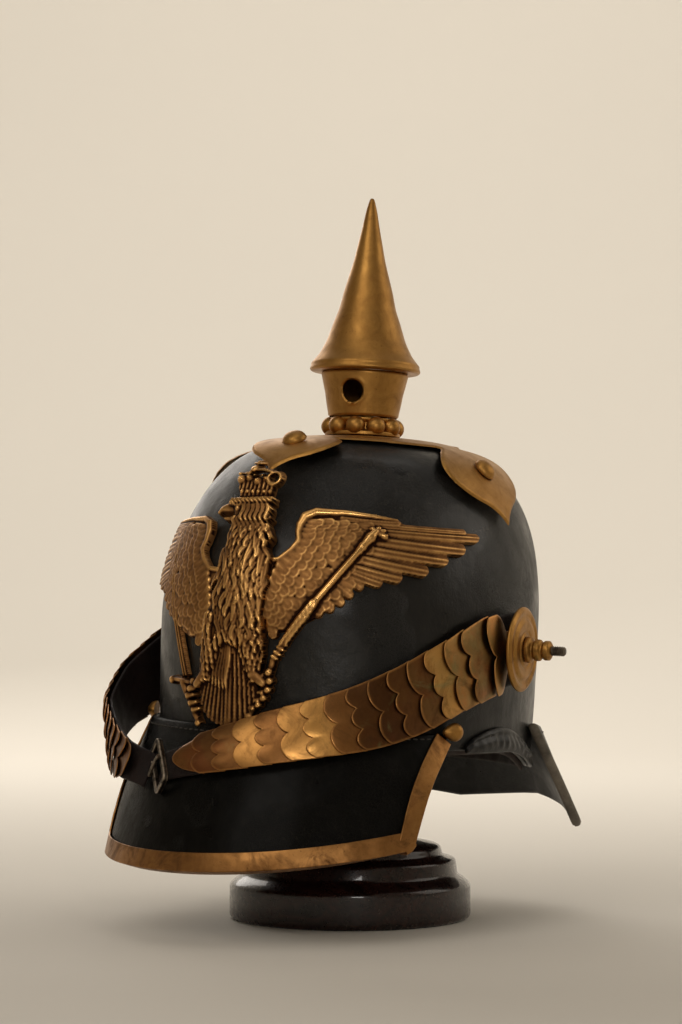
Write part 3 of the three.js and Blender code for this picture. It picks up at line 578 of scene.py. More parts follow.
class NodeBench:
    """One material's shader nodes, added and joined by name."""

    def __init__(self, name: str) -> None:
        """Starts a material whose only shader is the Principled one."""
        self.material = bpy.data.materials.new(name)
        self.material.use_nodes = True
        self.tree = self.material.node_tree
        self.shader = self.tree.nodes["Principled BSDF"]
        self.object = self.node("ShaderNodeTexCoord").outputs["Object"]

    def node(self, kind: str, inputs: dict | None = None, **settings: object) -> bpy.types.Node:
        """Adds a node.

        Args:
            kind: the node's Blender type.
            inputs: its sockets by name or number, as values or as other nodes' sockets.
            settings: its own properties.
        Returns:
            The node.
        """
        made = self.tree.nodes.new(kind)
        for name, value in settings.items():
            setattr(made, name, value)
        for name, value in (inputs or {}).items():
            self.join(made.inputs[name], value)
        return made

    def join(self, socket: Socket, value: object) -> None:
        """Links a socket to another one, or gives it its own value."""
        if isinstance(value, Socket):
            self.tree.links.new(value, socket)
            return
        if socket.type == "RGBA" and len(value) == 3:
            value = (*value, 1.0)
        socket.default_value = value

    def stretched(self, scale: Triple) -> Socket:
        """Object coordinates scaled along each axis."""
        return self.node("ShaderNodeMapping", {"Vector": self.object, "Scale": scale}).outputs[0]

    def noise(
        self, scale: float, detail: float, roughness: float = 0.55, distortion: float = 0.0,
        vector: Socket | None = None,
    ) -> Socket:
        """A fractal noise from 0 to 1, with its features per metre."""
        inputs = {
            "Vector": vector or self.object, "Scale": scale, "Detail": detail,
            "Roughness": roughness, "Distortion": distortion,
        }
        return self.node("ShaderNodeTexNoise", inputs).outputs["Fac"]

    def cracks(self, scale: float, wander: float) -> Socket:
        """The distance to the nearest edge of random cells whose edges wander."""
        inputs = {"Vector": self.object, "Scale": scale * 0.8, "Detail": 3.0}
        shake = self.node("ShaderNodeTexNoise", inputs)
        moved = self.node(
            "ShaderNodeVectorMath", {0: shake.outputs["Color"], 1: (wander, wander, wander)},
            operation="MULTIPLY",
        )
        ends = {0: self.object, 1: moved.outputs[0]}
        place = self.node("ShaderNodeVectorMath", ends, operation="ADD")
        cells = self.node(
            "ShaderNodeTexVoronoi", {"Vector": place.outputs[0], "Scale": scale},
            feature="DISTANCE_TO_EDGE",
        )
        return cells.outputs["Distance"]

    def value(self, name: str) -> Socket:
        """A named number that the mesh carries at its corners."""
        return self.node("ShaderNodeAttribute", attribute_name=name).outputs["Fac"]

    def span(
        self, value: Socket, low: float, high: float, out_low: float = 0.0, out_high: float = 1.0,
    ) -> Socket:
        """A number carried from one range to another and held inside it."""
        inputs = {0: value, 1: low, 2: high, 3: out_low, 4: out_high}
        return self.node("ShaderNodeMapRange", inputs).outputs[0]

    def maths(self, operation: str, a: object, b: object) -> Socket:
        """Two numbers put together by a Math node."""
        return self.node("ShaderNodeMath", {0: a, 1: b}, operation=operation).outputs[0]

    def times(self, a: object, b: object) -> Socket:
        """One number times another."""
        return self.maths("MULTIPLY", a, b)

    def plus(self, a: object, b: object, share: float) -> Socket:
        """A number and a share of another one."""
        return self.maths("ADD", a, self.times(b, share))

    def mix(self, share: object, a: object, b: object) -> Socket:
        """Two colours mixed by a share."""
        made = self.node("ShaderNodeMix", data_type="RGBA")
        for socket, value in ((made.inputs[0], share), (made.inputs[6], a), (made.inputs[7], b)):
            self.join(socket, value)
        return made.outputs[2]

    def bump(self, height: Socket, depth_mm: float, under: Socket | None = None) -> Socket:
        """A relief of a real depth over another one."""
        made = self.node("ShaderNodeBump", {"Height": height, "Distance": depth_mm * MM})
        if under is not None:
            self.join(made.inputs["Normal"], under)
        return made.outputs[0]

    def finish(self, **inputs: object) -> Material:
        """Gives the shader its sockets, named with _ for spaces, and returns the material."""
        for name, value in inputs.items():
            self.join(self.shader.inputs[name.replace("_", " ")], value)
        return self.material


class Finish:
    """A finish: makes its material once and gives it to every piece that has it."""

    made: dict[str, Material] = {}

    def material(self) -> Material:
        """The finish's material, made on its first use."""
        if self.name not in Finish.made:
            Finish.made[self.name] = self.nodes(NodeBench(self.name))
        return Finish.made[self.name]

    def nodes(self, bench: NodeBench) -> Material:
        """Builds the material on a bench."""
        raise NotImplementedError


@dataclass(frozen=True)
class BlackLeather(Finish):
    """Blackened leather with a worn varnish: fine cracks, upright streaks, dull patches and, where
    a piece asks for it, lighter ends that are partly rubbed leather and partly painted highlight.
    """

    name: str = "black_leather"
    slot: str = "leather_black"
    black: Colour = (0.0042, 0.0038, 0.003)
    dust: Colour = (0.026, 0.0235, 0.019)
    flesh: Colour = (0.014, 0.009, 0.006)
    # the lighter colour at the rear visor's ends: partly rubbed leather, partly painted highlight
    worn: Colour = (0.2, 0.17, 0.13)
    crack_scale: float = 520
    patch_low: float = 0.48
    shine: float = 0.27
    dullness: float = 0.5
    gloss: float = 0.3
    coat: float = 0.12

    def nodes(self, bench: NodeBench) -> Material:
        """Builds the cracked varnish.

        Args:
            bench: the empty material.
        Returns:
            The material.
        """
        patches = bench.noise(15, 3, 0.6)
        crazed = bench.span(patches, self.patch_low, self.patch_low + 0.16)
        lines = bench.span(bench.cracks(self.crack_scale, 0.0016), 0.0, 0.075, 1.0, 0.0)
        webs = bench.span(bench.cracks(self.crack_scale * 2.3, 0.0009), 0.0, 0.09, 1.0, 0.0)
        crack = bench.times(bench.maths("MAXIMUM", lines, bench.times(webs, 0.6)), crazed)
        streaks = bench.noise(1.0, 5, 0.65, vector=bench.stretched((240, 240, 14)))
        streak = bench.span(streaks, 0.52, 0.78)
        scuffs = bench.span(bench.noise(95, 6, 0.7, 0.6), 0.6, 0.78)
        grey = bench.times(streak, 0.16)
        grey = bench.plus(grey, crack, 0.5)
        grey = bench.plus(grey, scuffs, 0.3)
        outside = bench.mix(grey, self.black, self.dust)
        # lighter at the rear visor's ends: partly rubbed leather, partly a painted highlight of the
        # lit end
        rub = bench.value("rub")
        rub = bench.times(rub, bench.span(bench.noise(70, 5, 0.65), 0.3, 0.6, 0.25, 0.9))
        outside = bench.mix(rub, outside, self.worn)
        inside = bench.mix(bench.noise(60, 5), self.flesh, (0.007, 0.005, 0.004))
        colour = bench.mix(bench.value("inside"), outside, inside)
        rough = bench.span(bench.noise(48, 6, 0.6), 0.35, 0.68, self.shine, self.dullness)
        rough = bench.plus(rough, crack, 0.12)
        rough = bench.plus(rough, bench.value("inside"), 0.3)
        relief = bench.bump(bench.noise(900, 3, 0.5), 0.09)
        relief = bench.bump(streaks, 0.08, relief)
        relief = bench.bump(bench.noise(120, 4, 0.5), 0.42, relief)
        relief = bench.bump(crack, -0.6, relief)
        return bench.finish(
            Base_Color=colour, Roughness=rough, Normal=relief, Specular_IOR_Level=self.gloss,
            Coat_Weight=self.coat, Coat_Roughness=0.2,
        )


@dataclass(frozen=True)
class BrownLeather(Finish):
    """Soft brown leather for the lining and the straps."""

    name: str = "brown_leather"
    slot: str = "leather_lining"
    light: Colour = (0.045, 0.024, 0.014)
    dark: Colour = (0.016, 0.008, 0.005)
    roughness: float = 0.66
    gloss: float = 0.5

    def nodes(self, bench: NodeBench) -> Material:
        """Builds the grain and its darkened hollows.

        Args:
            bench: the empty material.
        Returns:
            The material.
        """
        colour = bench.mix(bench.span(bench.noise(70, 6, 0.65), 0.3, 0.7), self.dark, self.light)
        pores = bench.span(bench.cracks(950, 0.0008), 0.0, 0.16)
        colour = bench.mix(bench.maths("SUBTRACT", 1.0, pores), colour, self.dark)
        smooth, dull = self.roughness - 0.14, self.roughness + 0.12
        rough = bench.span(bench.noise(130, 4), 0.3, 0.7, smooth, dull)
        relief = bench.bump(pores, 0.1)
        relief = bench.bump(bench.noise(210, 5), 0.2, relief)
        return bench.finish(
            Base_Color=colour, Roughness=rough, Normal=relief, Specular_IOR_Level=self.gloss
        )


@dataclass(frozen=True)
class Brass(Finish):
    """Old brass: rubbed bright in broad and fine random patches, mottled and scratched."""

    name: str = "brass"
    slot: str = "brass"
    bright: Colour = (0.5, 0.265, 0.07)
    body: Colour = (0.32, 0.158, 0.04)
    dark: Colour = (0.06, 0.026, 0.008)
    green: Colour = (0.20, 0.22, 0.09)
    shine: float = 0.3
    dullness: float = 0.5
    mottle: float = 0.5
    spots: float = 0.35
    verdigris: float = 0.0
    dents_mm: float = 0.25

    def tone(self, bench: NodeBench) -> tuple[Socket, Socket]:
        """The metal's colour before its spots, and a number that is 1 where it is rubbed."""
        broad = bench.span(bench.noise(34, 4, 0.6, 0.4), 0.34, 0.68)
        fine = bench.span(bench.noise(190, 6, 0.7), 0.3, 0.75)
        rubbed = bench.plus(bench.times(broad, 0.62), fine, 0.38)
        return bench.mix(rubbed, self.body, self.bright), rubbed

    def nodes(self, bench: NodeBench) -> Material:
        """Builds the metal, its tarnish and its scratches.

        Args:
            bench: the empty material.
        Returns:
            The material.
        """
        colour, rubbed = self.tone(bench)
        stain = bench.span(bench.noise(58, 7, 0.72, 1.2), 0.49, 0.7, 0.0, self.mottle)
        colour = bench.mix(stain, colour, self.dark)
        specks = bench.span(bench.noise(520, 3, 0.6), 0.64, 0.74, 0.0, self.spots)
        colour = bench.mix(specks, colour, self.dark)
        if self.verdigris:
            bloom = bench.span(bench.noise(44, 5, 0.7, 0.8), 0.56, 0.72, 0.0, self.verdigris)
            colour = bench.mix(bloom, colour, self.green)
        rough = bench.span(rubbed, 0.0, 1.0, self.dullness, self.shine)
        rough = bench.plus(rough, stain, 0.3)
        scratches = bench.noise(1.0, 4, 0.7, 0.3, vector=bench.stretched((900, 900, 70)))
        relief = bench.bump(bench.noise(46, 3, 0.5), self.dents_mm)
        relief = bench.bump(scratches, 0.035, relief)
        relief = bench.bump(bench.noise(1400, 2, 0.5), 0.02, relief)
        return bench.finish(Base_Color=colour, Metallic=1.0, Roughness=rough, Normal=relief)


@dataclass(frozen=True)
class ReliefBrass(Brass):
    """Stamped brass whose relief's ridges and hollows come in a value at its corners: tarnish and
    painted shade in the hollows, rubbed brass on the ridges.
    """

    name: str = "relief_brass"
    slot: str = "brass_aged"
    bright: Colour = (0.76, 0.43, 0.145)
    body: Colour = (0.165, 0.062, 0.021)
    dark: Colour = (0.022, 0.0085, 0.0045)
    shine: float = 0.24
    dullness: float = 0.52
    mottle: float = 0.3
    spots: float = 0.2
    dents_mm: float = 0.12

    def tone(self, bench: NodeBench) -> tuple[Socket, Socket]:
        """Bright on the ridges, brown on the flats and nearly black in the hollows, a black that is
        partly tarnish and partly painted shade.
        """
        wear = bench.value("wear")
        shake = bench.span(bench.noise(150, 5, 0.6), 0.2, 0.8, -0.12, 0.12)
        shaken = bench.maths("ADD", wear, shake)
        ridge = bench.span(shaken, 0.53, 0.9)
        hollow = bench.span(shaken, 0.16, 0.5)
        golden = tuple(lerp(dull, rubbed, 0.42) for dull, rubbed in zip(self.body, self.bright))
        flats = bench.mix(bench.noise(30, 4, 0.6), self.body, golden)
        colour = bench.mix(hollow, self.dark, flats)
        return bench.mix(ridge, colour, self.bright), ridge


@dataclass(frozen=True)
class ScaleBrass(Brass):
    """The chinscales' brass: each scale has its own tint and a painted highlight along its free
    edge, so that its root stays brown.
    """

    name: str = "scale_brass"
    slot: str = "brass_scale"
    bright: Colour = (0.5, 0.235, 0.072)
    body: Colour = (0.26, 0.11, 0.032)
    dark: Colour = (0.065, 0.028, 0.012)
    mottle: float = 0.6
    spots: float = 0.3
    verdigris: float = 0.45
    shine: float = 0.23
    dullness: float = 0.44
    dents_mm: float = 0.2

    def tone(self, bench: NodeBench) -> tuple[Socket, Socket]:
        """The tint from the scale's own number, with a painted highlight towards its free edge."""
        plain, rubbed = Brass.tone(self, bench)
        tint = bench.value("tint")
        blush = bench.span(bench.noise(46, 4, 0.6, 0.5), 0.5, 0.64, 0.0, 0.7)
        copper = bench.mix(blush, plain, (0.42, 0.135, 0.045))
        brown = bench.mix(bench.span(tint, 0.0, 0.8), (0.06, 0.026, 0.012), copper)
        gold = bench.mix(bench.span(tint, 0.55, 1.0), brown, (0.6, 0.32, 0.09))
        # painted highlight: the free edge and the sides are mixed towards bright brass
        edge = bench.times(bench.span(bench.value("edge"), 0.2, 1.0), 0.55)
        olive = bench.times(bench.value("patina"), bench.span(bench.noise(85, 4), 0.35, 0.6))
        aged = bench.mix(bench.times(olive, 0.6), gold, (0.21, 0.185, 0.07))
        return bench.mix(edge, aged, self.bright), rubbed


@dataclass(frozen=True)
class DarkSteel(Finish):
    """Blackened iron with bare rubbed edges."""

    name: str = "dark_steel"
    slot: str = "steel_dark"
    dark: Colour = (0.016, 0.011, 0.008)
    bare: Colour = (0.42, 0.35, 0.27)

    def nodes(self, bench: NodeBench) -> Material:
        """Builds the dark metal and its rubbed edges.

        Args:
            bench: the empty material.
        Returns:
            The material.
        """
        worn = bench.times(bench.value("wear"), bench.span(bench.noise(260, 5), 0.3, 0.55))
        colour = bench.mix(worn, self.dark, self.bare)
        rough = bench.span(bench.noise(300, 5), 0.3, 0.7, 0.3, 0.55)
        relief = bench.bump(bench.noise(700, 4), 0.06)
        return bench.finish(Base_Color=colour, Metallic=1.0, Roughness=rough, Normal=relief)


@dataclass(frozen=True)
class Lacquer(Finish):
    """Turned wood under a deep red-black gloss lacquer."""

    name: str = "lacquered_wood"
    slot: str = "lacquered_wood"
    deep: Colour = (0.0045, 0.0025, 0.002)
    warm: Colour = (0.026, 0.0075, 0.0045)

    def nodes(self, bench: NodeBench) -> Material:
        """Builds faint grain under a clear coat.

        Args:
            bench: the empty material.
        Returns:
            The material.
        """
        grain = bench.noise(1.0, 6, 0.6, 1.5, vector=bench.stretched((26, 160, 160)))
        colour = bench.mix(bench.span(grain, 0.35, 0.75), self.deep, self.warm)
        rough = bench.span(bench.noise(320, 4), 0.3, 0.7, 0.22, 0.38)
        relief = bench.bump(bench.noise(36, 2), 0.05)
        return bench.finish(
            Base_Color=colour, Roughness=rough, Normal=relief, Specular_IOR_Level=0.2,
            Coat_Weight=0.55, Coat_Roughness=0.06,
        )


@dataclass(frozen=True)
class Thread(Finish):
    """Waxed linen thread."""

    name: str = "waxed_thread"
    slot: str = "leather_black"
    colour: Colour = (0.022, 0.018, 0.014)

    def nodes(self, bench: NodeBench) -> Material:
        """Builds the dull thread.

        Args:
            bench: the empty material.
        Returns:
            The material.
        """
        shade = bench.mix(bench.noise(900, 3), self.colour, (0.05, 0.042, 0.034))
        twist = bench.bump(bench.noise(2500, 2), 0.08)
        return bench.finish(Base_Color=shade, Roughness=0.75, Normal=twist)


LEATHER = BlackLeather()
LINING = BrownLeather()
STRAP_LEATHER = BrownLeather(
    name="strap_leather", slot="leather_strap", light=(0.018, 0.008, 0.006),
    dark=(0.006, 0.0035, 0.003), roughness=0.56, gloss=0.2,
)
VISOR_LEATHER = BlackLeather(
    name="visor_leather", black=(0.0022, 0.002, 0.0016), gloss=0.06, coat=0.06
)
SPIKE_BRASS = Brass(mottle=0.3)
BOSS_BRASS = Brass(name="boss_brass", verdigris=0.5, green=(0.2, 0.17, 0.055), mottle=0.6)
TRIM_BRASS = Brass(
    name="trim_brass", slot="brass_trim", bright=(0.48, 0.24, 0.078), body=(0.18, 0.08, 0.025),
    dark=(0.05, 0.02, 0.01), shine=0.24, mottle=0.75, spots=0.5, dents_mm=0.6,
)
EAGLE_BRASS = ReliefBrass()
CHIN_BRASS = ScaleBrass()
STEEL = DarkSteel()
LACQUER = Lacquer()
THREAD = Thread()


# ------------------------------------------------------------------ putting pieces in the scene


def add_piece(
    name: str, solid: Solid, finish: Finish, stands_for: Sequence[str] = (),
    to_row: Callable[[Array], Array] = POSE.to_row,
) -> None:
    """Makes a piece that rides with the helmet.

    Args:
        name: the piece's name.
        solid: its mesh, in helmet millimetres unless to_row says otherwise.
        finish: its finish.
        stands_for: the CAD nodes that it replaces.
        to_row: carries its corners to the row frame, in metres.
    """
    corners, fours, threes, values = solid.welded()
    mesh = bpy.data.meshes.new(name)
    mesh.vertices.add(len(corners))
    mesh.vertices.foreach_set("co", to_row(corners).astype(np.float32).ravel())
    loops = np.concatenate([fours.ravel(), threes.ravel()]).astype(np.int32)
    sizes = np.concatenate([np.full(len(fours), 4), np.full(len(threes), 3)])
    mesh.loops.add(len(loops))
    mesh.loops.foreach_set("vertex_index", loops)
    mesh.polygons.add(len(sizes))
    starts = np.concatenate([[0], np.cumsum(sizes)[:-1]]).astype(np.int32)
    mesh.polygons.foreach_set("loop_start", starts)
    for key, numbers in values.items():
        layer = mesh.attributes.new(key, "FLOAT", "POINT")
        layer.data.foreach_set("value", numbers.astype(np.float32))
    mesh.update(calc_edges=True)
    mesh.validate()
    mesh.shade_smooth()
    mesh.set_sharp_from_angle(angle=math.radians(SHARP_FROM))
    mesh.materials.append(finish.material())
    piece = bpy.data.objects.new(name, mesh)
    bpy.context.scene.collection.objects.link(piece)
    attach(piece, BODY)
    if stands_for:
        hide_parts(*stands_for)
    log.info("%s: %d corners, %d faces", name, len(corners), len(sizes))


# ------------------------------------------------------------------ shell, lining and visors


@dataclass(frozen=True)
class Shell:
    """The leather body of the helmet with its sweatband and the rolls over the ears."""

    wall: float = 3.0
    columns: int = 300
    side_share: float = 0.45
    climb_length: float = 240
    band_wall: float = 1.4
    band_height: float = 35
    band_top: float = 32
    band_below: float = 2.5
    band_gap: float = 0.5
    roll_start: float = 129
    roll_end: float = 208
    roll_height: float = 9.5
    roll_width: float = 8
    roll_wall: float = 1.6
    roll_below: float = 0.8
    roll_gap: float = 0.7
    roll_flare: float = 2.2
    roll_shares: tuple[float, ...] = (0, 0.07, 0.2, 0.34, 0.5, 0.66, 0.8, 0.92, 1)
    roll_widths: tuple[float, ...] = (0.35, 0.8, 1.15, 1.32, 1.25, 1.05, 0.85, 0.6, 0.3)

    def surface(self, share: Array, turn: Array, depth: Array) -> Array:
        """A point by the share of the climb from the rim to the crown, at a depth in the wall."""
        climb = np.clip(share * (1 + self.side_share) - self.side_share, 0, 1)
        rim = FORM.rim(turn)
        low = np.clip(share * (1 + self.side_share) / self.side_share, 0, 1)
        side = rim + (FORM.dome_start - rim) * low
        bend = np.sin(climb * np.pi / 2) ** (2 / FORM.dome_sharpness)
        dome = (FORM.crown - FORM.dome_start) * bend
        z = np.where(climb <= 0, side, FORM.dome_start + dome)
        z = np.minimum(z, FORM.crown - 1e-4)
        return FORM.point(turn, z) - FORM.normal(turn, z) * depth[..., None]

    def body(self) -> Solid:
        """The hollow shell: out over the dome, round the rim and back up the inside.

        The outside sinks by up to a third of a millimetre along soft random waves, as stiffened
        leather does.
        """
        turn = round_turns(self.columns, -np.pi)[None, :]
        rows = np.concatenate([[0, 0.002, 0.006, 0.012], np.linspace(0.02, 0.985, 104)])[:, None]
        rounding = round_edge(rows * self.climb_length, self.wall / 2)
        outer = self.surface(rows, turn, (self.wall / 2 * (1 - rounding)) + 0 * turn)
        sink = 0.16 * (1 - np.abs(ripple(outer, 46, 5))) * rounding
        outer = self.surface(rows, turn, self.wall / 2 * (1 - rounding) + np.maximum(0, sink))
        inner = self.surface(rows, turn, self.wall / 2 * (1 + rounding) + 0 * turn)
        apex = np.array([0, FORM.crown_shift, FORM.crown - 0.05])
        top = np.broadcast_to(apex, (1, self.columns, 3))
        under = top - np.array([0, 0, self.wall])
        points = np.concatenate([outer, top, under, inner[::-1]])
        inside = np.zeros(points.shape[:2])
        inside[len(rows) + 1 :] = 1
        inside[-4:] = 0.3
        return Solid.grid(points, wrap_rows=True, wrap_columns=True, values={"inside": inside})

    def sweatband(self) -> Solid:
        """The lining band, its top edge cut into soft tongues."""
        turn = round_turns(360, -np.pi)[None, :]
        rows = edge_spaced(12, self.band_height, self.band_wall)[:, None]
        bottom = FORM.rim(turn) - self.band_below
        tongues = 5 * np.abs(np.cos(turn * 11)) ** 0.35 - 5
        z = bottom + (self.band_top + tongues - bottom) * rows
        nearest = np.minimum(rows, 1 - rows) * self.band_height
        half = self.band_wall / 2 * round_edge(nearest, self.band_wall)
        depth = self.wall + self.band_gap + self.band_wall / 2
        middle = FORM.point(turn, z)
        normal = FORM.normal(turn, z)
        return Solid.between(
            middle - normal * (depth - half)[..., None],
            middle - normal * (depth + half)[..., None], wrap_columns=True,
        )

    def ear_roll(self, side: Side) -> Solid:
        """The flared, puckered roll along the rim over an ear."""
        length = self.roll_end - self.roll_start

        def middle(a: Array, b: Array) -> Array:
            """The roll's middle surface, whose foot flares outwards."""
            share = np.clip(a, 0, 1)
            arc = side.value * (self.roll_start + length * share)
            width = self.roll_height * np.interp(share, self.roll_shares, self.roll_widths)
            z = FORM.rim(FORM.turn_at(arc)) - self.roll_below + width * b
            flare = self.roll_flare * np.maximum(0, 1 - b) ** 1.5 * np.sin(np.pi * share) ** 0.5
            return FORM.on_shell(arc, z, self.roll_gap + flare + self.roll_wall / 2)

        def half(a: Array, b: Array) -> Array:
            """Half the padded thickness, with pleats across it."""
            nearest = edge_gap(a, b, length, self.roll_width)
            folds = np.sin(a * 47 - b * 3.2 + 2.5 * np.sin(a * 17)) + 0.5 * np.sin(a * 90 + b * 4)
            depth = 0.22 + 0.4 * smoothstep(a, 0.45, 0.8)
            pleats = depth * folds * np.sin(np.pi * np.clip(b, 0, 1))
            pad = 1.5 * bell(b, 0.4, 0.34) + 0.5 * bell(b, 0.86, 0.1)
            return (self.roll_wall / 2 + pad * 0.9 + pleats) * round_edge(nearest, 1.8)

        return slab(middle, edge_spaced(130, length, 1), edge_spaced(20, self.roll_width, 1), half)

    def build(self) -> None:
        """Makes the leather pieces of the body."""
        add_piece("leather_shell", self.body(), LEATHER, ["shell"])
        add_piece("lining_band", self.sweatband(), LINING, ["sweatband"])
        for side in Side:
            name = f"ear_rolled_rim_{side.label}"
            add_piece(name, self.ear_roll(side), LEATHER, [f"ear_roll_{side.label}"])


@dataclass(frozen=True)
class Visor:
    """A sheet of leather sewn to the shell, about an inner face that each visor gives."""

    wall: float
    step: float = 1e-3
    seam_gap: float = 0.6

    def face(self, a: Array, b: Array) -> Array:
        """The inner face: a from end to end, b from the seam to the free edge."""
        raise NotImplementedError

    def normal(self, a: Array, b: Array) -> Array:
        """The outward normal of the inner face."""
        along = self.face(a + self.step, b) - self.face(a - self.step, b)
        down = self.face(a, b + self.step) - self.face(a, b - self.step)
        return unit(np.cross(down, along))

    def middle(self, a: Array, b: Array) -> Array:
        """The surface half way through the leather."""
        return self.face(a, b) + self.normal(a, b) * self.wall / 2

    def seam_thread(self, a: Array, share_down: float) -> Solid:
        """The seam's stitches, one at each share a: short bars of thread laid end to end."""
        b = np.full_like(a, share_down)
        ahead = self.middle(a + self.step, b) - self.middle(a, b)
        places = self.middle(a, b) + self.normal(a, b) * (self.wall / 2 + THREAD_LIFT)
        return thread_bars(places, ahead, self.normal(a, b))


@dataclass(frozen=True)
class FrontVisor(Visor):
    """The front visor and the brass binding on its two ends and its edge."""

    wall: float = 3
    length: float = 234
    depth: float = 62
    seam_reach: float = 112
    stitch: float = 4
    end_arc: float = 117
    seam: float = 7.5
    bulge: float = 1.5
    edge_radius: float = 97.5
    edge_centre: float = -45
    edge_span: float = 64
    drop: float = 53.5
    peak_drop: float = 8
    warp: float = 7.5
    cheek_hollow: float = 5
    outer_leg: float = 7.8
    inner_leg: float = 4.5
    metal: float = 0.8
    gap: float = 0.9
    bound_from: float = 0.1

    def face(self, a: Array, b: Array) -> Array:
        """The inner face: a from the wearer's right to left, b from the seam to the edge."""
        across = 2 * a - 1
        top = FORM.on_shell(self.end_arc * across, self.seam, self.seam_gap)
        turn = across * math.radians(self.edge_span)
        low = -self.drop - self.peak_drop * (1 - across**2) + self.warp * across
        reach = self.edge_radius
        edge = stack(reach * np.sin(turn), self.edge_centre - reach * np.cos(turn), low)
        crown = self.bulge * 4 * b * (1 - b)
        outward = stack(np.sin(turn), -np.cos(turn), 0.0)
        face = lerp(top, edge, b[..., None]) + outward * crown[..., None]
        face[..., 1] -= self.cheek_hollow * np.sin(np.pi * b) * np.abs(across) ** 6
        return face

    def leather(self) -> Solid:
        """The leather, whose bound edges stop a little short inside the binding."""

        def middle(a: Array, b: Array) -> Array:
            """The visor's middle without the strip that the binding's fold takes up."""
            return self.middle(lerp(0.004, 0.996, a), lerp(0.0, 0.985, b))

        def half(a: Array, b: Array) -> Array:
            """Half the wall, rounded over at its edges."""
            nearest = edge_gap(a, b, self.length, self.depth)
            return self.wall / 2 * round_edge(nearest, self.wall / 2)

        along, down = edge_spaced(150, self.length, 1.5), edge_spaced(40, self.depth, 1.5)
        return slab(middle, along, down, half)

    def section(self) -> Array:
        """The binding's channel: rows of depth into the visor and rise off its middle."""
        half = self.wall / 2 + self.gap
        low = -self.gap - self.metal
        corners = [
            (self.outer_leg, half + 0.1), (self.outer_leg, half + self.metal),
            (low, half + self.metal), (low, -half - self.metal),
            (self.inner_leg, -half - self.metal), (self.inner_leg, -half),
            (low + self.metal, -half), (low + self.metal, half), (self.outer_leg, half),
        ]
        return filleted(corners, 0.62)

    def binding(self) -> Solid:
        """The channel round the edge.

        It is carried along the line where its outer leg ends, so that it turns sharply inside
        each corner and runs round it outside, and dents of a tenth of a millimetre follow it.
        """
        side = np.linspace(self.bound_from, 0.985, 26)
        edge = np.linspace(0.012, 0.988, 150)
        runs = (
            (np.zeros_like(side), side), (edge, np.ones_like(edge)),
            (np.ones_like(side), side[::-1]),
        )
        origins, inwards, normals = [], [], []
        for a, b in runs:
            path = self.middle(a, b)
            normal = self.normal(a, b)
            run = unit(np.gradient(path, axis=0))
            origins.append(path)
            inwards.append(unit(np.cross(normal, run)))
            normals.append(normal)
        share = np.linspace(0, 1, 10)[1:-1, None]
        legs = [o + i * self.outer_leg for o, i in zip(origins, inwards)]
        paths, outs, ups = [legs[0]], [inwards[0]], [normals[0]]
        for k in (0, 1):
            middle = (legs[k][-1:] + legs[k + 1][:1]) / 2
            paths += [np.repeat(middle, len(share), axis=0), legs[k + 1]]
            outs += [unit(lerp(inwards[k][-1:], inwards[k + 1][:1], share)), inwards[k + 1]]
            ups += [unit(lerp(normals[k][-1:], normals[k + 1][:1], share)), normals[k + 1]]
        path, out, up = (np.concatenate(x) for x in (paths, outs, ups))
        section = self.section() - np.array([self.outer_leg, 0])
        solid = swept(path, out, up, section)
        dent = ripple(solid.corners, 15, 11) * 0.13 + ripple(solid.corners, 5, 12) * 0.05
        outward = unit(solid.corners * np.array([1, 1, 0]))
        solid.corners = solid.corners + outward * dent[:, None]
        return solid

    def build(self) -> None:
        """Makes the visor, its binding and its seam."""
        add_piece("front_peak", self.leather(), VISOR_LEATHER, ["front_visor"])
        add_piece("peak_binding", self.binding(), TRIM_BRASS, ["visor_trim"])
        stitches = np.arange(-self.seam_reach, self.seam_reach + 0.5, self.stitch)
        thread = self.seam_thread(stitches / self.length + 0.5, 0.055)
        add_piece("front_seam_thread", thread, THREAD)


def thread_bars(places: Array, along: Array, normals: Array) -> Solid:
    """Small capsules of thread, one at each place.

    Args:
        places: their middles.
        along: the way each one runs.
        normals: the way each one stands off the leather.
    Returns:
        All the capsules as one solid.
    """
    run = unit(along)
    side = unit(np.cross(normals, run))
    rows = np.linspace(-1, 1, 7)[:, None]
    turn = round_turns(6)[None, :]
    radius = THREAD_RADIUS * domed(np.abs(rows), 4)
    bars = []
    for place, x, y, z in zip(places, run, side, normals):
        shape = stack(rows * STITCH_HALF, radius * np.cos(turn), radius * np.sin(turn))
        bars.append(Solid.grid(shape @ np.stack([x, y, z]) + place, wrap_columns=True))
    return Solid.joined(bars)


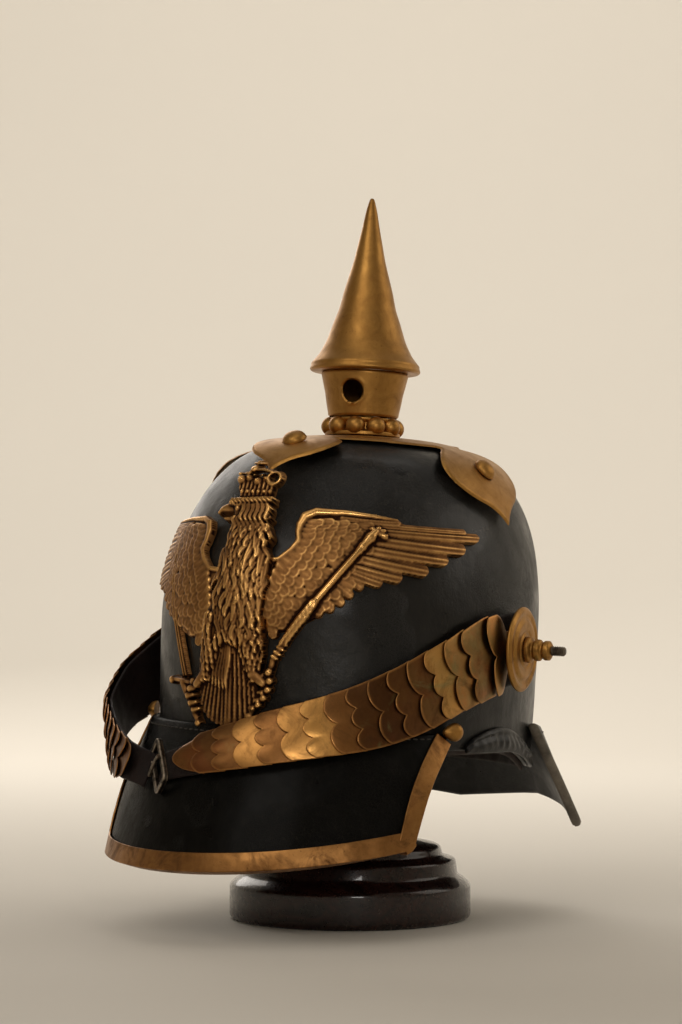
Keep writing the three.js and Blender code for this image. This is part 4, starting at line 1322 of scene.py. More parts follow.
@dataclass(frozen=True)
class RearVisor(Visor):
    """The rear visor, which hangs lowest at its two corners."""

    wall: float = 3.6
    length: float = 250
    depth: float = 50
    start_arc: float = 197
    ear_seam: float = 11
    back_seam: float = 4
    end_roll: float = 0.7
    bulge: float = 0.3
    edge_radius: float = 121
    edge_centre: float = 8
    edge_span: float = 57
    warp: float = 2
    drops: tuple[float, ...] = (40, 37, 34, 39, 48)

    def face(self, a: Array, b: Array) -> Array:
        """The inner face: a from the wearer's left to right round the back, b down to the edge."""
        across = 2 * a - 1
        girth = FORM.half_girth()
        sign = np.where(across < 0, -1.0, 1.0)
        seam_arc = -sign * (girth - (girth - self.start_arc) * np.minimum(1.02, np.abs(across)))
        seam = lerp(self.back_seam, self.ear_seam, across**2)
        top = FORM.on_shell(seam_arc, seam, self.seam_gap)
        turn = across * math.radians(self.edge_span)
        drop = np.interp(np.abs(across), np.linspace(0, 1, len(self.drops)), self.drops)
        low = -drop - 0.5 * bell(np.abs(across), 0.5, 0.08) - self.warp * across
        reach = self.edge_radius
        edge = stack(-reach * np.sin(turn), self.edge_centre + reach * np.cos(turn), low)
        crown = self.bulge * 4 * b * (1 - b)
        outward = stack(-np.sin(turn), np.cos(turn), 0.0)
        return lerp(top, edge, b[..., None]) + outward * crown[..., None]

    def leather(self) -> Solid:
        """The leather with its rounded edges and the turned-over welt just inside them."""

        def half(a: Array, b: Array) -> Array:
            """Half the wall with its welt and its rolled ends, rounded over at its edges."""
            end = np.minimum(a, 1 - a) * self.length
            nearest = np.minimum(end, (1 - b) * self.depth)
            welt = 0.22 * smoothstep(nearest, 3.4, 2.6)
            roll = self.end_roll * smoothstep(-end, -6, -3)
            rounding = round_edge(np.minimum(nearest, b * self.depth), self.wall / 2)
            return (self.wall / 2 + welt + roll) * rounding

        a, b = edge_spaced(170, self.length, 4), edge_spaced(34, self.depth, 4)
        ends = np.minimum(a, 1 - a) * self.length + 0 * b[:, None]
        # the ends are painted lighter: partly rubbed leather, partly a painted highlight of their
        # lit edges
        return slab(self.middle, a, b, half, {"rub": smoothstep(-ends, -5, -1.5)})

    def build(self) -> None:
        """Makes the rear visor and its seam."""
        add_piece("neck_guard", self.leather(), LEATHER, ["rear_visor"])
        add_piece("rear_seam_thread", self.seam_thread(np.linspace(0.03, 0.97, 52), 0.09), THREAD)


# ------------------------------------------------------------------ free outlines


def outline_field(points: Array, x: Array, y: Array) -> Array:
    """The distance inside a closed outline, negative outside it.

    Args:
        points: the outline's corners in order.
        x, y: where to measure.
    Returns:
        The signed distances.
    """
    best = np.full(x.shape, FAR)
    inside = np.zeros(x.shape, bool)
    for (ax, ay), (bx, by) in zip(points, np.roll(points, -1, axis=0)):
        dx, dy = bx - ax, by - ay
        share = np.clip(((x - ax) * dx + (y - ay) * dy) / max(dx * dx + dy * dy, TINY), 0, 1)
        best = np.minimum(best, np.hypot(x - ax - share * dx, y - ay - share * dy))
        crosses = (ay > y) != (by > y)
        height = dy if abs(dy) > TINY else TINY
        inside ^= crosses & (x < ax + (y - ay) * dx / height)
    return np.where(inside, best, -best)


def corner_sum(values: Array) -> Array:
    """The sum over the four corners of each cell."""
    return values[:-1, :-1] + values[1:, :-1] + values[:-1, 1:] + values[1:, 1:]


def kept_cells(inside: Array) -> Array:
    """The cells whose middle lies inside the outline."""
    return corner_sum(inside) > 0


def at_border(cells: Array) -> Array:
    """The points between kept and missing cells, from the cells with one more row all round."""
    count = corner_sum(cells.astype(int))
    return (count > 0) & (count < 4)


def snapped(
    x: Array, y: Array, inside: Array, kept: Array, pitch: float
) -> tuple[Array, Array, Array]:
    """Moves a free outline's own grid points onto the line where the field is 0.

    Each point at the border of the kept cells slides down the field's gradient by its value.

    Args:
        x, y: the grid.
        inside: the field, positive inside.
        kept: the kept cells.
        pitch: the grid's step.
    Returns:
        The moved grid and which points are on the border.
    """
    border = at_border(np.pad(kept, 1))
    rise_y, rise_x = np.gradient(inside, pitch)
    steep = np.maximum(rise_x**2 + rise_y**2, 0.35)
    limit = 0.75 * pitch
    move_x = np.clip(-inside * rise_x / steep, -limit, limit)
    move_y = np.clip(-inside * rise_y / steep, -limit, limit)
    return x + border * move_x, y + border * move_y, border


def filled(place: Callable, x: Array, y: Array, lift: Array, used: Array) -> Array:
    """The points that place gives where they are used, and the origin elsewhere."""
    points = np.zeros((*x.shape, 3))
    points[used] = place(x[used], y[used], lift[used])
    return points


# ------------------------------------------------------------------ crown fittings


@dataclass(frozen=True)
class Arm:
    """One arm of the spike's cross-shaped base."""

    bearing: float
    reach: float
    spread: float
    spring: float
    stud: float


@dataclass(frozen=True)
class SpikeBase:
    """The cross-shaped plate on the crown, with a domed stud on each arm."""

    hub: float = 53
    wall: float = 1.1
    pitch: float = 1.0
    half_size: float = 110
    seat_gap: float = 0.9
    spring_reaches: Pair = (46, 78)
    arms: tuple[tuple[str, Arm], ...] = (
        ("front", Arm(0, 93, 0.92, 5, 67)), ("back", Arm(180, 93, 0.92, 3.6, 67)),
        ("left", Arm(90, 108, 1.25, 3, 77)), ("right", Arm(-90, 108, 1.25, 3, 77)),
    )
    arm_rows: tuple[Pair, ...] = (
        (0.5, 8), (0.52, 10), (0.57, 18), (0.63, 25), (0.7, 27), (0.78, 24.5), (0.85, 18.5),
        (0.9, 11), (0.95, 4.8), (1, 0.4),
    )
    stud_radius: float = 6.6
    stud_height: float = 4.6

    def arm_field(self, arm: Arm, x: Array, y: Array) -> Array:
        """The distance inside one arm, whose outline is a smooth curve through its rows."""
        bearing = math.radians(arm.bearing)
        along = x * math.sin(bearing) - y * math.cos(bearing)
        across = x * math.cos(bearing) + y * math.sin(bearing)
        rows = np.array([(share * arm.reach, half * arm.spread) for share, half in self.arm_rows])
        smooth = spline(rows, 40)
        right = np.concatenate([[(0.0, 10.0)], smooth])
        outline = np.concatenate([right, (right * [1, -1])[::-1]])
        return outline_field(outline, along, across)

    def lift(self, x: Array, y: Array) -> Array:
        """How far the plate's back stands off the dome."""
        springs = dict(self.arms)
        front = np.where(y < 0, springs["front"].spring, springs["back"].spring)
        spring = np.where(np.abs(x) > np.abs(y), springs["left"].spring, front)
        return self.seat_gap + spring * smoothstep(np.hypot(x, y), *self.spring_reaches)

    def plate(self) -> Solid:
        """The plate: its outline is the hub's circle joined to the four arms."""
        steps = np.arange(-self.half_size, self.half_size + self.pitch, self.pitch)
        x, y = np.meshgrid(steps, steps)
        inside = self.hub - np.hypot(x, y)
        for _, arm in self.arms:
            inside = np.maximum(inside, self.arm_field(arm, x, y))
        kept = kept_cells(inside)
        px, py, border = snapped(x, y, inside, kept, self.pitch)
        edge = np.where(border, 0, round_edge(np.maximum(inside, 0.3), 1.0))
        used = inside > -3
        base = self.lift(px, py) + self.wall * 0.35
        swell = 0.45 * bell(np.maximum(inside, 0), 2.2, 1.6)
        outer, inner = (
            filled(FORM.on_crown, px, py, lift, used)
            for lift in (
                base + edge * (self.wall * 0.65 + swell * 0.4), base - edge * self.wall * 0.35,
            )
        )
        return Solid.between(outer, inner, kept=kept)

    def stud(self) -> Solid:
        """A low dome with a thin seat under it."""
        r = self.stud_radius
        foot = [(0, 0), (r * 0.97, 0), (r, 0.3), (r, 0.6)]
        dome = dome_rows(r * 0.95, 0.7, self.stud_height, 16)
        return Solid.lathe(np.concatenate([foot, dome]), 48)

    def build(self) -> None:
        """Makes the plate and its four studs."""
        add_piece("crown_cross_plate", self.plate(), SPIKE_BRASS, ["spike_base"])
        for name, arm in self.arms:
            bearing = math.radians(arm.bearing)
            spot = arm.stud * np.array([math.sin(bearing), -math.cos(bearing)])
            lift = self.lift(*spot) + self.wall + 0.25
            foot = FORM.on_crown(*spot, lift)
            normal = FORM.on_crown(*spot, lift + 1) - foot
            axes = frame_axes(normal, np.array([math.cos(bearing), math.sin(bearing), 0]))
            stud = self.stud().placed(foot, axes)
            add_piece(f"crown_stud_{name}", stud, SPIKE_BRASS, [f"arm_stud_{name}"])


@dataclass(frozen=True)
class Spike:
    """The spike: a ring of pearls, a vented neck and the long cone."""

    pearls: int = 10
    ring_radius: float = 17.4
    pearl_radius: float = 5.3
    pearl_height: float = 167.1
    seat: float = 162.1
    neck_wall: float = 1.2
    neck_pitch: float = 0.75
    neck_radius: float = 21
    vent_radius: float = 6
    vent_reach: float = 21.3
    vent_height: float = 185.5
    vent_turn: float = 13
    neck_rows: tuple[Pair, ...] = (
        (19.0, 172.6), (19.6, 176), (20.4, 180), (21.3, 185.5), (22.3, 189.5), (23.9, 196.6),
    )
    cone_rows: tuple[Pair, ...] = (
        (29.6, 201.4), (25.6, 206.4), (23.2, 210.8), (21.2, 215.2), (18.3, 224), (15.5, 232),
        (13.4, 241), (10.9, 250), (8.6, 258.5), (6.8, 267), (4.9, 276), (3.2, 285), (1.9, 290.2),
    )

    def pearl_ring(self) -> Solid:
        """Ten pearls set round a turned collar."""
        seat, z = self.seat, self.pearl_height
        rows = [(12, seat), (20.5, seat), (20.5, seat + 2.1), (17.2, z - 2), (17.2, z + 2)]
        rows += [(18.4, z + 3.2), (18.6, z + 4.6), (12, z + 4.6)]
        collar = Solid.lathe(filleted(rows, 0.5), 96)
        height = np.linspace(-np.pi / 2, np.pi / 2, 17)
        ball = np.stack([np.cos(height), np.sin(height)], axis=1) * self.pearl_radius
        ball[[0, -1], 0] = 0
        parts = [collar]
        for i in range(self.pearls):
            turn = (i + 0.5) * 2 * math.pi / self.pearls
            reach = self.ring_radius
            place = np.array([reach * math.sin(turn), -reach * math.cos(turn), z])
            parts.append(Solid.lathe(ball, 32).placed(place, np.eye(3)))
        return Solid.joined(parts)

    def neck(self) -> Solid:
        """The flared cup with its two round vents, cut out of a fine grid round the wall."""
        pitch = self.neck_pitch
        rows = np.array(self.neck_rows)
        heights = np.arange(rows[0, 1], rows[-1, 1] + pitch / 2, pitch)
        radius = np.interp(heights, rows[:, 1], rows[:, 0])[:, None]
        columns = int(2 * math.pi * self.neck_radius / pitch)
        turn = round_turns(columns)[None, :]
        z = heights[:, None] + 0 * turn
        gap = np.full(z.shape, FAR)
        vents = [math.radians(self.vent_turn - 90), math.radians(self.vent_turn + 90)]
        for vent in vents:
            around = self.vent_reach * np.angle(np.exp(1j * (turn - vent)))
            gap = np.minimum(gap, np.hypot(around, z - self.vent_height) - self.vent_radius)
        wide = np.concatenate([gap, gap[:, :1]], axis=1)
        kept = kept_cells(wide)
        arc = np.concatenate([turn, turn[:, :1] + 2 * np.pi], axis=1) * self.vent_reach + 0 * wide
        high = np.concatenate([z, z[:, :1]], axis=1)
        arc, high, _ = snapped(arc, high, wide, kept, pitch)
        on_vent = self.on_hole(kept)
        ends = np.zeros(on_vent.shape, bool)
        ends[[0, -1]] = True
        high[[0, -1]] = np.array([[heights[0]], [heights[-1]]])
        reach = np.interp(high, rows[:, 1], rows[:, 0])
        half = np.where(ends | on_vent, 0, self.neck_wall / 2)
        turned = arc / self.vent_reach
        rim = 0.35 * bell(wide, 0.8, 0.9) * ~on_vent

        def sheet(r: Array) -> Array:
            """The wall's points at a radius."""
            return stack(r * np.cos(turned), r * np.sin(turned), high)

        middle = reach - self.neck_wall / 2
        return Solid.between(sheet(middle + half + rim), sheet(middle - half), kept=kept)

    @staticmethod
    def on_hole(kept: Array) -> Array:
        """The points at the border of a hole in a sheet that closes round, its ends left out."""
        wide = np.concatenate([kept[:, -1:], kept, kept[:, :1]], axis=1)
        return at_border(np.concatenate([wide[:1], wide, wide[-1:]], axis=0))

    def cone(self) -> Solid:
        """The cone with its rolled foot, a thin wall and a hollow under it."""
        side = spline(np.array(self.cone_rows), 60)
        foot = [(22.6, 197), (29.1, 196.95), (30.35, 198.2), (29.6, 200.2), (29.6, 201.4)]
        tip = np.array([(1.35, 291.9), (0.75, 292.8), (0, TIP_HEIGHT)])
        hollow = np.array([(0, 270), (11.6, 241), (21.4, 210.8)])
        return Solid.lathe(np.concatenate([hollow, filleted(foot, 1.0), side[1:], tip]), 96)

    def build(self) -> None:
        """Makes the three parts of the spike."""
        add_piece("spike_pearls", self.pearl_ring(), SPIKE_BRASS, ["pearl_ring"])
        add_piece("spike_vented_neck", self.neck(), SPIKE_BRASS, ["spike_neck"])
        add_piece("spike_long_cone", self.cone(), SPIKE_BRASS, ["spike_cone"])


# ------------------------------------------------------------------ the eagle


class Relief:
    """A height field on a flat grid, built by laying shapes over each other."""

    def __init__(self, low: Pair, high: Pair, pitch: float) -> None:
        """Starts an empty field over a box of arc and height.

        Args:
            low: the lowest arc and height.
            high: the highest arc and height.
            pitch: the grid's step.
        """
        self.pitch = pitch
        self.low = low
        self.u, self.z = np.meshgrid(
            np.arange(low[0], high[0] + pitch, pitch), np.arange(low[1], high[1] + pitch, pitch),
        )
        self.height = np.zeros(self.u.shape)
        self.polish_and_highlight = np.zeros(self.u.shape)
        self.inside = np.full(self.u.shape, -1e3)

    def near(self, start: Point, end: Point, margin: float) -> tuple[slice, slice]:
        """The part of the grid within a margin of a line."""
        spans = []
        for axis in (1, 0):
            low = (min(start[axis], end[axis]) - margin - self.low[axis]) / self.pitch
            high = (max(start[axis], end[axis]) + margin - self.low[axis]) / self.pitch
            spans.append(slice(max(0, int(low)), max(0, int(high) + 2)))
        return spans[0], spans[1]

    def lay(self, shape: Array, height: Array, part: object = ...) -> None:
        """Puts a shape on top of what lies under it.

        Args:
            shape: the distance inside the shape.
            height: its height, where it is.
            part: the part of the grid that both cover.
        """
        self.height[part] = np.where(shape > 0, height, self.height[part])
        self.inside[part] = np.maximum(self.inside[part], shape)

    def run(self, start: Point, end: Point, part: object = ...) -> tuple[Array, Array, float]:
        """The share along a line, the distance to its left, and its length."""
        du, dz = end[0] - start[0], end[1] - start[1]
        length = math.hypot(du, dz)
        u, z = self.u[part] - start[0], self.z[part] - start[1]
        return (u * du + z * dz) / length**2, (z * du - u * dz) / length, length

    def pillow(self, points: Sequence[Pair], base: object, rise: float, radius: float) -> None:
        """Lays a shape inside an outline, rounded over from its edge to a height.

        Args:
            points: the outline's corners.
            base: the height at its edge.
            rise: how far its middle is over its edge.
            radius: how wide the rounding is.
        """
        shape = outline_field(np.array(points, float), self.u, self.z)
        self.lay(shape, base + rise * round_edge(np.maximum(shape, 0), radius))

    def feather(
        self, start: Point, end: Point, radius: float, base: float, rise: float, rib: float,
        barb: float, curve: float = 0.0, taper: float = 0.75, rim: float = 0.0, tilt: float = 0.0,
        ridges: float = 0.0,
    ) -> None:
        """Lays a feather: a rounded blade with a raised shaft, ridges and slanting barbs.

        Args:
            start: its root.
            end: its tip.
            radius: half its width.
            base: the height that it lies at; it climbs by a third of the rise towards its tip.
            rise: how far its middle is over its edges.
            rib: how far the shaft stands up.
            barb: how deep the barbs are.
            curve: how far its middle line bows to the left, as an arc.
            taper: its width at the root as a share of the full width.
            rim: how far its edge is rolled up at the tip.
            tilt: how far its left edge lies under its right one.
            ridges: how deep the lengthwise ridges beside the shaft are.
        """
        part = self.near(start, end, radius + abs(curve) + 1)
        along, across, length = self.run(start, end, part)
        across = across - curve * 4 * along * (1 - along)
        width = radius * lerp(taper, 1.0, smoothstep(along, 0, 0.6))
        beyond = along * length - np.clip(along * length, 0, length - radius)
        distance = np.hypot(beyond, across)
        shape = width - distance
        side = np.clip(across / width, -1, 1)
        blade = domed(distance / width, 3.2)
        shaft = bell(across, 0, 0.12 * radius + 0.1) * smoothstep(-along, -1.0, -0.85)
        slant = np.sin((along * length - np.abs(across) * 1.3) * 2 * np.pi / 1.9)
        lip = rim * smoothstep(-shape, -0.95, -0.3) * smoothstep(along, 0.3, 0.75)
        lines = ridges * np.cos(side * 3 * np.pi) * smoothstep(shape, 0.2, 0.9)
        height = base + rise * blade + rib * shaft + barb * slant * (1 - shaft) * blade
        height = height + lip + lines - tilt * side + rise * 0.33 * np.clip(along, 0, 1)
        self.lay(shape, height, part)

    def lock(
        self, start: Point, end: Point, radius: float, base: object, sway: float, rise: float,
    ) -> None:
        """Lays a shaggy lock: a flame shape that sways from side to side and ends in a point.

        Args:
            start: its root.
            end: its point.
            radius: half its width at its widest.
            base: the height that it lies at.
            sway: how far it swings, to the left and back to the right.
            rise: how far its middle is over its edges.
        """
        part = self.near(start, end, radius + abs(sway) + 1)
        along, across, _ = self.run(start, end, part)
        across = across - sway * np.sin(along * 2 * np.pi)
        width = radius * np.sqrt(np.maximum(0, np.sin(np.pi * np.clip(along, 0, 1) ** 0.62)))
        shape = np.where((along > 0) & (along < 1), width - np.abs(across), -1.0)
        side = np.clip(across / np.maximum(width, 0.05), -1, 1)
        groove = 0.35 * rise * bell(side, 0.1, 0.2)
        under = base[part] if isinstance(base, np.ndarray) else base
        height = under + rise * domed(np.abs(side)) - groove
        self.lay(shape, height + rise * 0.6 * np.clip(along, 0, 1), part)

    def rod(self, points: Sequence[Triple], base: float, swell: float = 1.0) -> None:
        """Lays a round rod through rows of arc, height and radius."""
        for (u0, z0, r0), (u1, z1, r1) in zip(points, points[1:]):
            part = self.near((u0, z0), (u1, z1), max(r0, r1) + 1)
            along, across, length = self.run((u0, z0), (u1, z1), part)
            share = np.clip(along, 0, 1)
            radius = lerp(r0, r1, share)
            distance = np.hypot((along - share) * length, across)
            height = np.maximum(self.height[part], base + swell * radius * domed(distance / radius))
            self.lay(radius - distance, height, part)

    def ball(self, u: float, z: float, radius: float, base: float, swell: float = 1.0) -> None:
        """Lays a ball."""
        self.rod([(u - 0.01, z, radius), (u + 0.01, z, radius)], base, swell)

    def ring(self, u: float, z: float, radius: float, wall: float, base: float) -> None:
        """Lays a round ring of wire."""
        distance = np.abs(np.hypot(self.u - u, self.z - z) - radius)
        self.lay(wall - distance, base + wall * domed(distance / wall))

    def blurred(self, values: Array, passes: int) -> Array:
        """Values averaged with their neighbours, a number of times."""
        for _ in range(passes):
            padded = np.pad(values, 1, mode="edge")
            rows = (padded[:-2, 1:-1] + padded[2:, 1:-1]) / 4 + values / 2
            padded = np.pad(rows, 1, mode="edge")
            values = (padded[1:-1, :-2] + padded[1:-1, 2:]) / 4 + rows / 2
        return values

    def wear(self, height: Array, covered: Array) -> Array:
        """How high each place stands over its surroundings, near and wide alike: 0 in hollows and 1
        on ridges; the hollows get painted shade along with their tarnish, and the ridges are rubbed
        bright.
        """
        total = 0.42
        # the wide pass also paints shade onto the ground beside high relief, such as round the
        # sceptre
        for passes, weight in ((9, 1.25), (60, 0.17)):
            share = np.maximum(self.blurred(covered.astype(float), passes), 1e-3)
            around = self.blurred(np.where(covered, height, 0), passes) / share
            total = total + (height - around) * weight
        return np.clip(total + self.polish_and_highlight, 0, 1)

    def solid(self, place: Callable[[Array, Array, Array], Array], plate: float) -> Solid:
        """The field as a closed plate with the value wear.

        Args:
            place: carries arc, height and lift to a point.
            plate: the thickness of the metal's edge.
        Returns:
            The plate.
        """
        covered = self.inside > 0
        height = self.blurred(np.where(covered, self.height, 0), 1)
        wear = self.wear(height, covered)
        kept = kept_cells(self.inside)
        u, z, border = snapped(self.u, self.z, self.inside, kept, self.pitch)
        edge = np.where(border, 0, round_edge(np.maximum(self.inside, 0.15), 0.8))
        lift = (plate + height) * edge
        used = self.inside > -3 * self.pitch
        outer, inner = (filled(place, u, z, off, used) for off in (lift, 0 * lift))
        wear = np.where(border, 0.6, wear)
        return Solid.between(outer, inner, values={"wear": wear}, kept=kept)


@dataclass(frozen=True)
class Eagle:
    """The front plate: a crowned eagle with spread wings, a sceptre and a sword."""

    back: float = 0.7
    plate: float = 1.2
    body_relief: float = 5.0
    stand_start: float = 104
    stand_climb: float = 36
    sunk_from: float = 116
    head_sink: float = 2.8
    stand: float = 11
    right_wing_drop: float = 5.5
    wing_pitch: float = 0.46
    body_pitch: float = 0.4
    wing_outline: tuple[Pair, ...] = (
        (12, 91), (20, 91), (25.4, 96), (30, 100.6), (26, 108.8), (27.6, 117), (33, 119.8),
        (50, 120.4), (79, 117.2), (92, 110), (80, 92), (66, 83.5), (58, 77.5), (52, 70), (41, 62.5),
        (30, 56.5), (20, 55), (12, 58),
    )
    primaries: tuple[tuple[float, float, float, float, float], ...] = (
        (56, 87, 74, 81.6, 2.9), (54, 91, 84, 84.4, 3.0), (56, 95.5, 98.5, 88.4, 3.0),
        (58, 100, 110.5, 94.4, 3.0), (60, 104.6, 122.3, 100.4, 3.1), (62, 109.6, 133.4, 107.6, 3.3),
        (58, 113.8, 123.2, 111.5, 2.2), (50, 116.3, 81, 114.9, 2.0),
    )
    secondaries: tuple[tuple[float, float, float, float, float], ...] = (
        (22, 64, 23.5, 56.8, 2.8), (25, 66, 28.5, 57.2, 2.8), (27, 69, 34, 59.2, 2.8),
        (30, 72, 39, 62.0, 2.8), (34, 76, 45, 64.0, 2.7), (38, 79, 50.6, 66.8, 2.7),
        (42, 81, 55.6, 70.2, 2.6), (46, 84, 59.6, 74.2, 2.5), (50, 87, 64.4, 78.6, 2.5),
        (53, 89, 69.6, 81.4, 2.4),
    )
    arm_line: tuple[Triple, ...] = (
        (17, 68, -70), (18, 76, -56), (20.5, 84, -42), (24, 91, -30), (28.5, 97.5, -18),
        (31, 104, -10), (31.5, 110, -6), (36, 114.6, -3),
    )
    tail_fan: tuple[tuple[float, float, float, float], ...] = (
        (-17.5, 22, -9, 2.0), (15.2, 21, 9.5, 2.0), (-17, 17, -8, 2.1), (14.4, 16, 8.6, 2.1),
        (-15, 13.5, -7, 2.1), (12.2, 13, 7.4, 2.1), (-12.4, 11, -5.8, 2.1), (9.8, 10.8, 6.0, 2.1),
        (-9.6, 9.4, -4.4, 2.1), (7.0, 9.4, 4.4, 2.1), (-6.6, 8.2, -3.0, 2.1), (4.2, 8.4, 2.8, 2.1),
        (-3.6, 7.6, -1.4, 2.0), (1.2, 7.6, 1.0, 2.0), (-1.2, 7.2, -0.2, 2.0),
    )

    def place(self, u: Array, z: Array, lift: Array) -> Array:
        """Carries the plate to the helmet.

        It follows the shell, and above the head it stands away from the dome towards its top.
        """
        z = z - self.head_sink * smoothstep(z, self.stand_start, self.sunk_from)
        rise = np.maximum(0, (z - self.stand_start) / self.stand_climb)
        inner = smoothstep(-np.abs(u), -50, -20)
        stand = self.back + self.stand * rise**1.4 * inner
        turn = FORM.turn_at(u)
        normal = FORM.normal(turn, z)
        flat = unit(normal * np.array([1, 1, 0]))
        away = unit(lerp(normal, flat, np.minimum(1, rise)[..., None]))
        return FORM.point(turn, z) + away * (stand + lift)[..., None]

    def wing(self) -> Relief:
        """The wing on the wearer's left, without the sceptre."""
        relief = Relief((9, 50), (137, 122), self.wing_pitch)
        relief.pillow(self.wing_outline, 0.55, 0.3, 3)
        for u0, z0, u1, z1, radius in self.secondaries:
            relief.feather(
                (u0, z0), (u1, z1), radius, 0.7, 0.4, rib=0.22, barb=0.1, tilt=-0.2, rim=0.3
            )
        for u0, z0, u1, z1, radius in self.primaries:
            relief.feather(
                (u0, z0), (u1, z1), radius * 1.14, 0.75, 0.36, curve=-0.012 * (u1 - u0),
                taper=0.98, rib=0.34, barb=0.13, tilt=0.36, ridges=0.14, rim=0.14,
            )
        self.coverts(relief)
        edge = [(14, 91, 1.3), (20, 91.4, 1.5), (25.6, 96.2, 1.7), (28.8, 100.8, 1.9)]
        edge += [(27.6, 105, 2.1), (27.8, 110, 2.6), (29.6, 115.4, 2.8), (35, 118.4, 2.3)]
        edge += [(50, 119, 1.6), (66, 117.8, 1.2), (79, 116.4, 0.8)]
        relief.rod(edge, 0.9, 0.8)
        relief.polish_and_highlight += 0.1
        return relief

    def coverts(self, relief: Relief) -> None:
        """The small rounded feathers, in rows like roof tiles from the arm outwards."""
        line = np.array(self.arm_line)
        per_row = 14
        for row in range(6, -1, -1):
            for k in range(per_row):
                share = (k + 0.5 * (row % 2)) / per_row * (len(line) - 1)
                u, z, angle = (np.interp(share, range(len(line)), line[:, c]) for c in range(3))
                way = np.array([math.cos(math.radians(angle)), math.sin(math.radians(angle))])
                spread = 4.7 + 0.4 * math.sin(k * 2.1 + row)
                root = np.array([u, z]) + way * (row * spread - 1.5)
                tip = root + way * (spread + 3.0)
                if tip[1] > 118.8 or row * spread > 10 + 22 * smoothstep(z, 62, 96):
                    continue
                base = 0.9 + 0.1 * (6 - row)
                relief.feather(root, tip, 2.75, base, 0.34, rib=0.1, barb=0.05, rim=0.42)

    def sceptre(self, relief: Relief) -> None:
        """The sceptre over the wing: a plain shaft, its leafy lower half, and a budded head."""
        base = 2.1
        relief.rod([(63, 101, 1.7), (41, 71, 1.7)], base, 1.1)
        self.leafy_rod(relief, base)
        for u, z, radius in ((61.4, 98.8, 2.4), (60, 96.8, 2.1)):
            relief.ball(u, z, radius, base, 0.9)
        relief.rod([(62.5, 100.4, 2.2), (65, 103.6, 3.0), (67, 106.6, 2.2)], base, 0.9)
        for u, z in ((65.4, 109.0), (69.6, 105.4), (68.6, 109.6), (71.4, 107.8), (72.6, 104.4)):
            relief.rod([(67, 106.4, 1.0), (u, z, 1.5)], base, 0.8)

    def leafy_rod(self, relief: Relief, base: float) -> None:
        """The sceptre's lower half: a swollen rod wrapped in small leaves, then four rings."""
        core = [(41.5, 71.5, 2.1), (36, 63.5, 2.9), (30, 54.5, 2.7), (22.4, 42, 2.0)]
        relief.rod(core, base, 0.9)
        for k in range(9):
            share = k / 8
            u, z = lerp(41, 29, share), lerp(70.5, 52.5, share)
            for side in (-1, 1):
                root, end = (u + side * 0.3, z + 1.6), (u + side * 2.2 - 1.5, z - 3.0)
                relief.lock(root, end, 0.95, base + 2.0, 0.3 * side, 0.7)
        rings = ((27.6, 50.6, 3.0), (26.2, 48.2, 2.6), (24.8, 45.8, 3.0), (23.6, 43.6, 2.5))
        for u, z, radius in rings:
            ends = [(u + way * radius * 0.6, z - way * radius * 0.36, 0.9) for way in (-1, 1)]
            relief.rod(ends, base + 1.6)

    def body(self) -> Relief:
        """The body from crown to tail, with the feet, the sword and the sceptre's lower end."""
        relief = Relief((-62, 4), (36, 148), self.body_pitch)
        rng = np.random.default_rng(8)
        self.sword(relief)
        trunk = [(-6.5, 112), (-8, 106), (-10, 97), (-11, 89), (-10.5, 80), (-12, 66), (-14, 50)]
        trunk += [(-12, 34), (10, 34), (15, 50), (16, 66), (17, 78), (16, 90), (13, 100)]
        trunk += [(11.8, 112)]
        swell = self.body_relief * np.maximum(0, 1 - ((relief.u - 2.6) / 17.5) ** 2) ** 0.7
        swell = swell * smoothstep(relief.z, 16, 62)
        relief.pillow(trunk, 0.9 + swell, 0.5, 2)
        self.tail(relief)
        self.thighs(relief, rng)
        self.plumage(relief, rng, swell)
        self.leafy_rod(relief, 1.6)
        self.feet(relief)
        self.head(relief)
        self.crown(relief)
        # painted highlight, partly polish from rubbing: lighter over the chest's middle; the plate
        # is also made darker towards the bottom, below a height of about 50
        relief.polish_and_highlight = 0.16 * np.exp(-(((relief.u - 5) / 8) ** 2) - ((relief.z - 80) / 17) ** 2)
        relief.polish_and_highlight -= 0.1 * smoothstep(-relief.z, -50, -34)
        return relief

    def tail(self, relief: Relief) -> None:
        """A fan of long narrow feathers under the thighs."""
        for tip_u, tip_z, root_u, radius in self.tail_fan:
            bow = 0.06 * (tip_u - root_u)
            under = 1.5 + 1.6 * (1 - abs(tip_u) / 20)
            relief.feather(
                (root_u, 50), (tip_u, tip_z), radius, under, 0.8, curve=bow,
                taper=0.4, rib=0.6, barb=0.12, rim=0.25, tilt=0.3 * np.sign(tip_u),
            )
        for tip_u, tip_z, root_u, radius in self.tail_fan[::2]:
            middle = (lerp(tip_u, root_u, 0.45), lerp(tip_z, 50, 0.45))
            under = 2.6 + 1.6 * (1 - abs(tip_u) / 20)
            relief.lock((root_u * 0.9, 50), middle, radius * 0.75, under, 0.4, 0.9)

    def thighs(self, relief: Relief, rng: np.random.Generator) -> None:
        """Two feathered thighs, covered by small curled locks."""
        for hip, foot in (((-7.4, 62), (-14.8, 33)), ((8.2, 62), (14, 34))):
            relief.rod([(hip[0], hip[1], 8.2), (foot[0], foot[1], 3.0)], 2.2, 0.4)
            for row in range(10):
                share = row / 9
                u, z = lerp(foot[0], hip[0], share), lerp(foot[1] + 1, hip[1], share)
                half = lerp(2.8, 8.2, share)
                for spot in np.linspace(-1, 1, 5) + 0.2 * (row % 2):
                    shake = rng.uniform(-0.7, 0.7)
                    top = (u + spot * half * 0.72 + shake, z + 2.8)
                    end = (u + spot * half * 0.98 + shake, z - 4.6 + shake)
                    height = 2.7 + 2.3 * share + 1.3 * (1 - spot**2) + 0.5 * shake
                    relief.lock(top, end, 1.45, height, 0.5 * np.sign(spot + 0.1), 1.0)

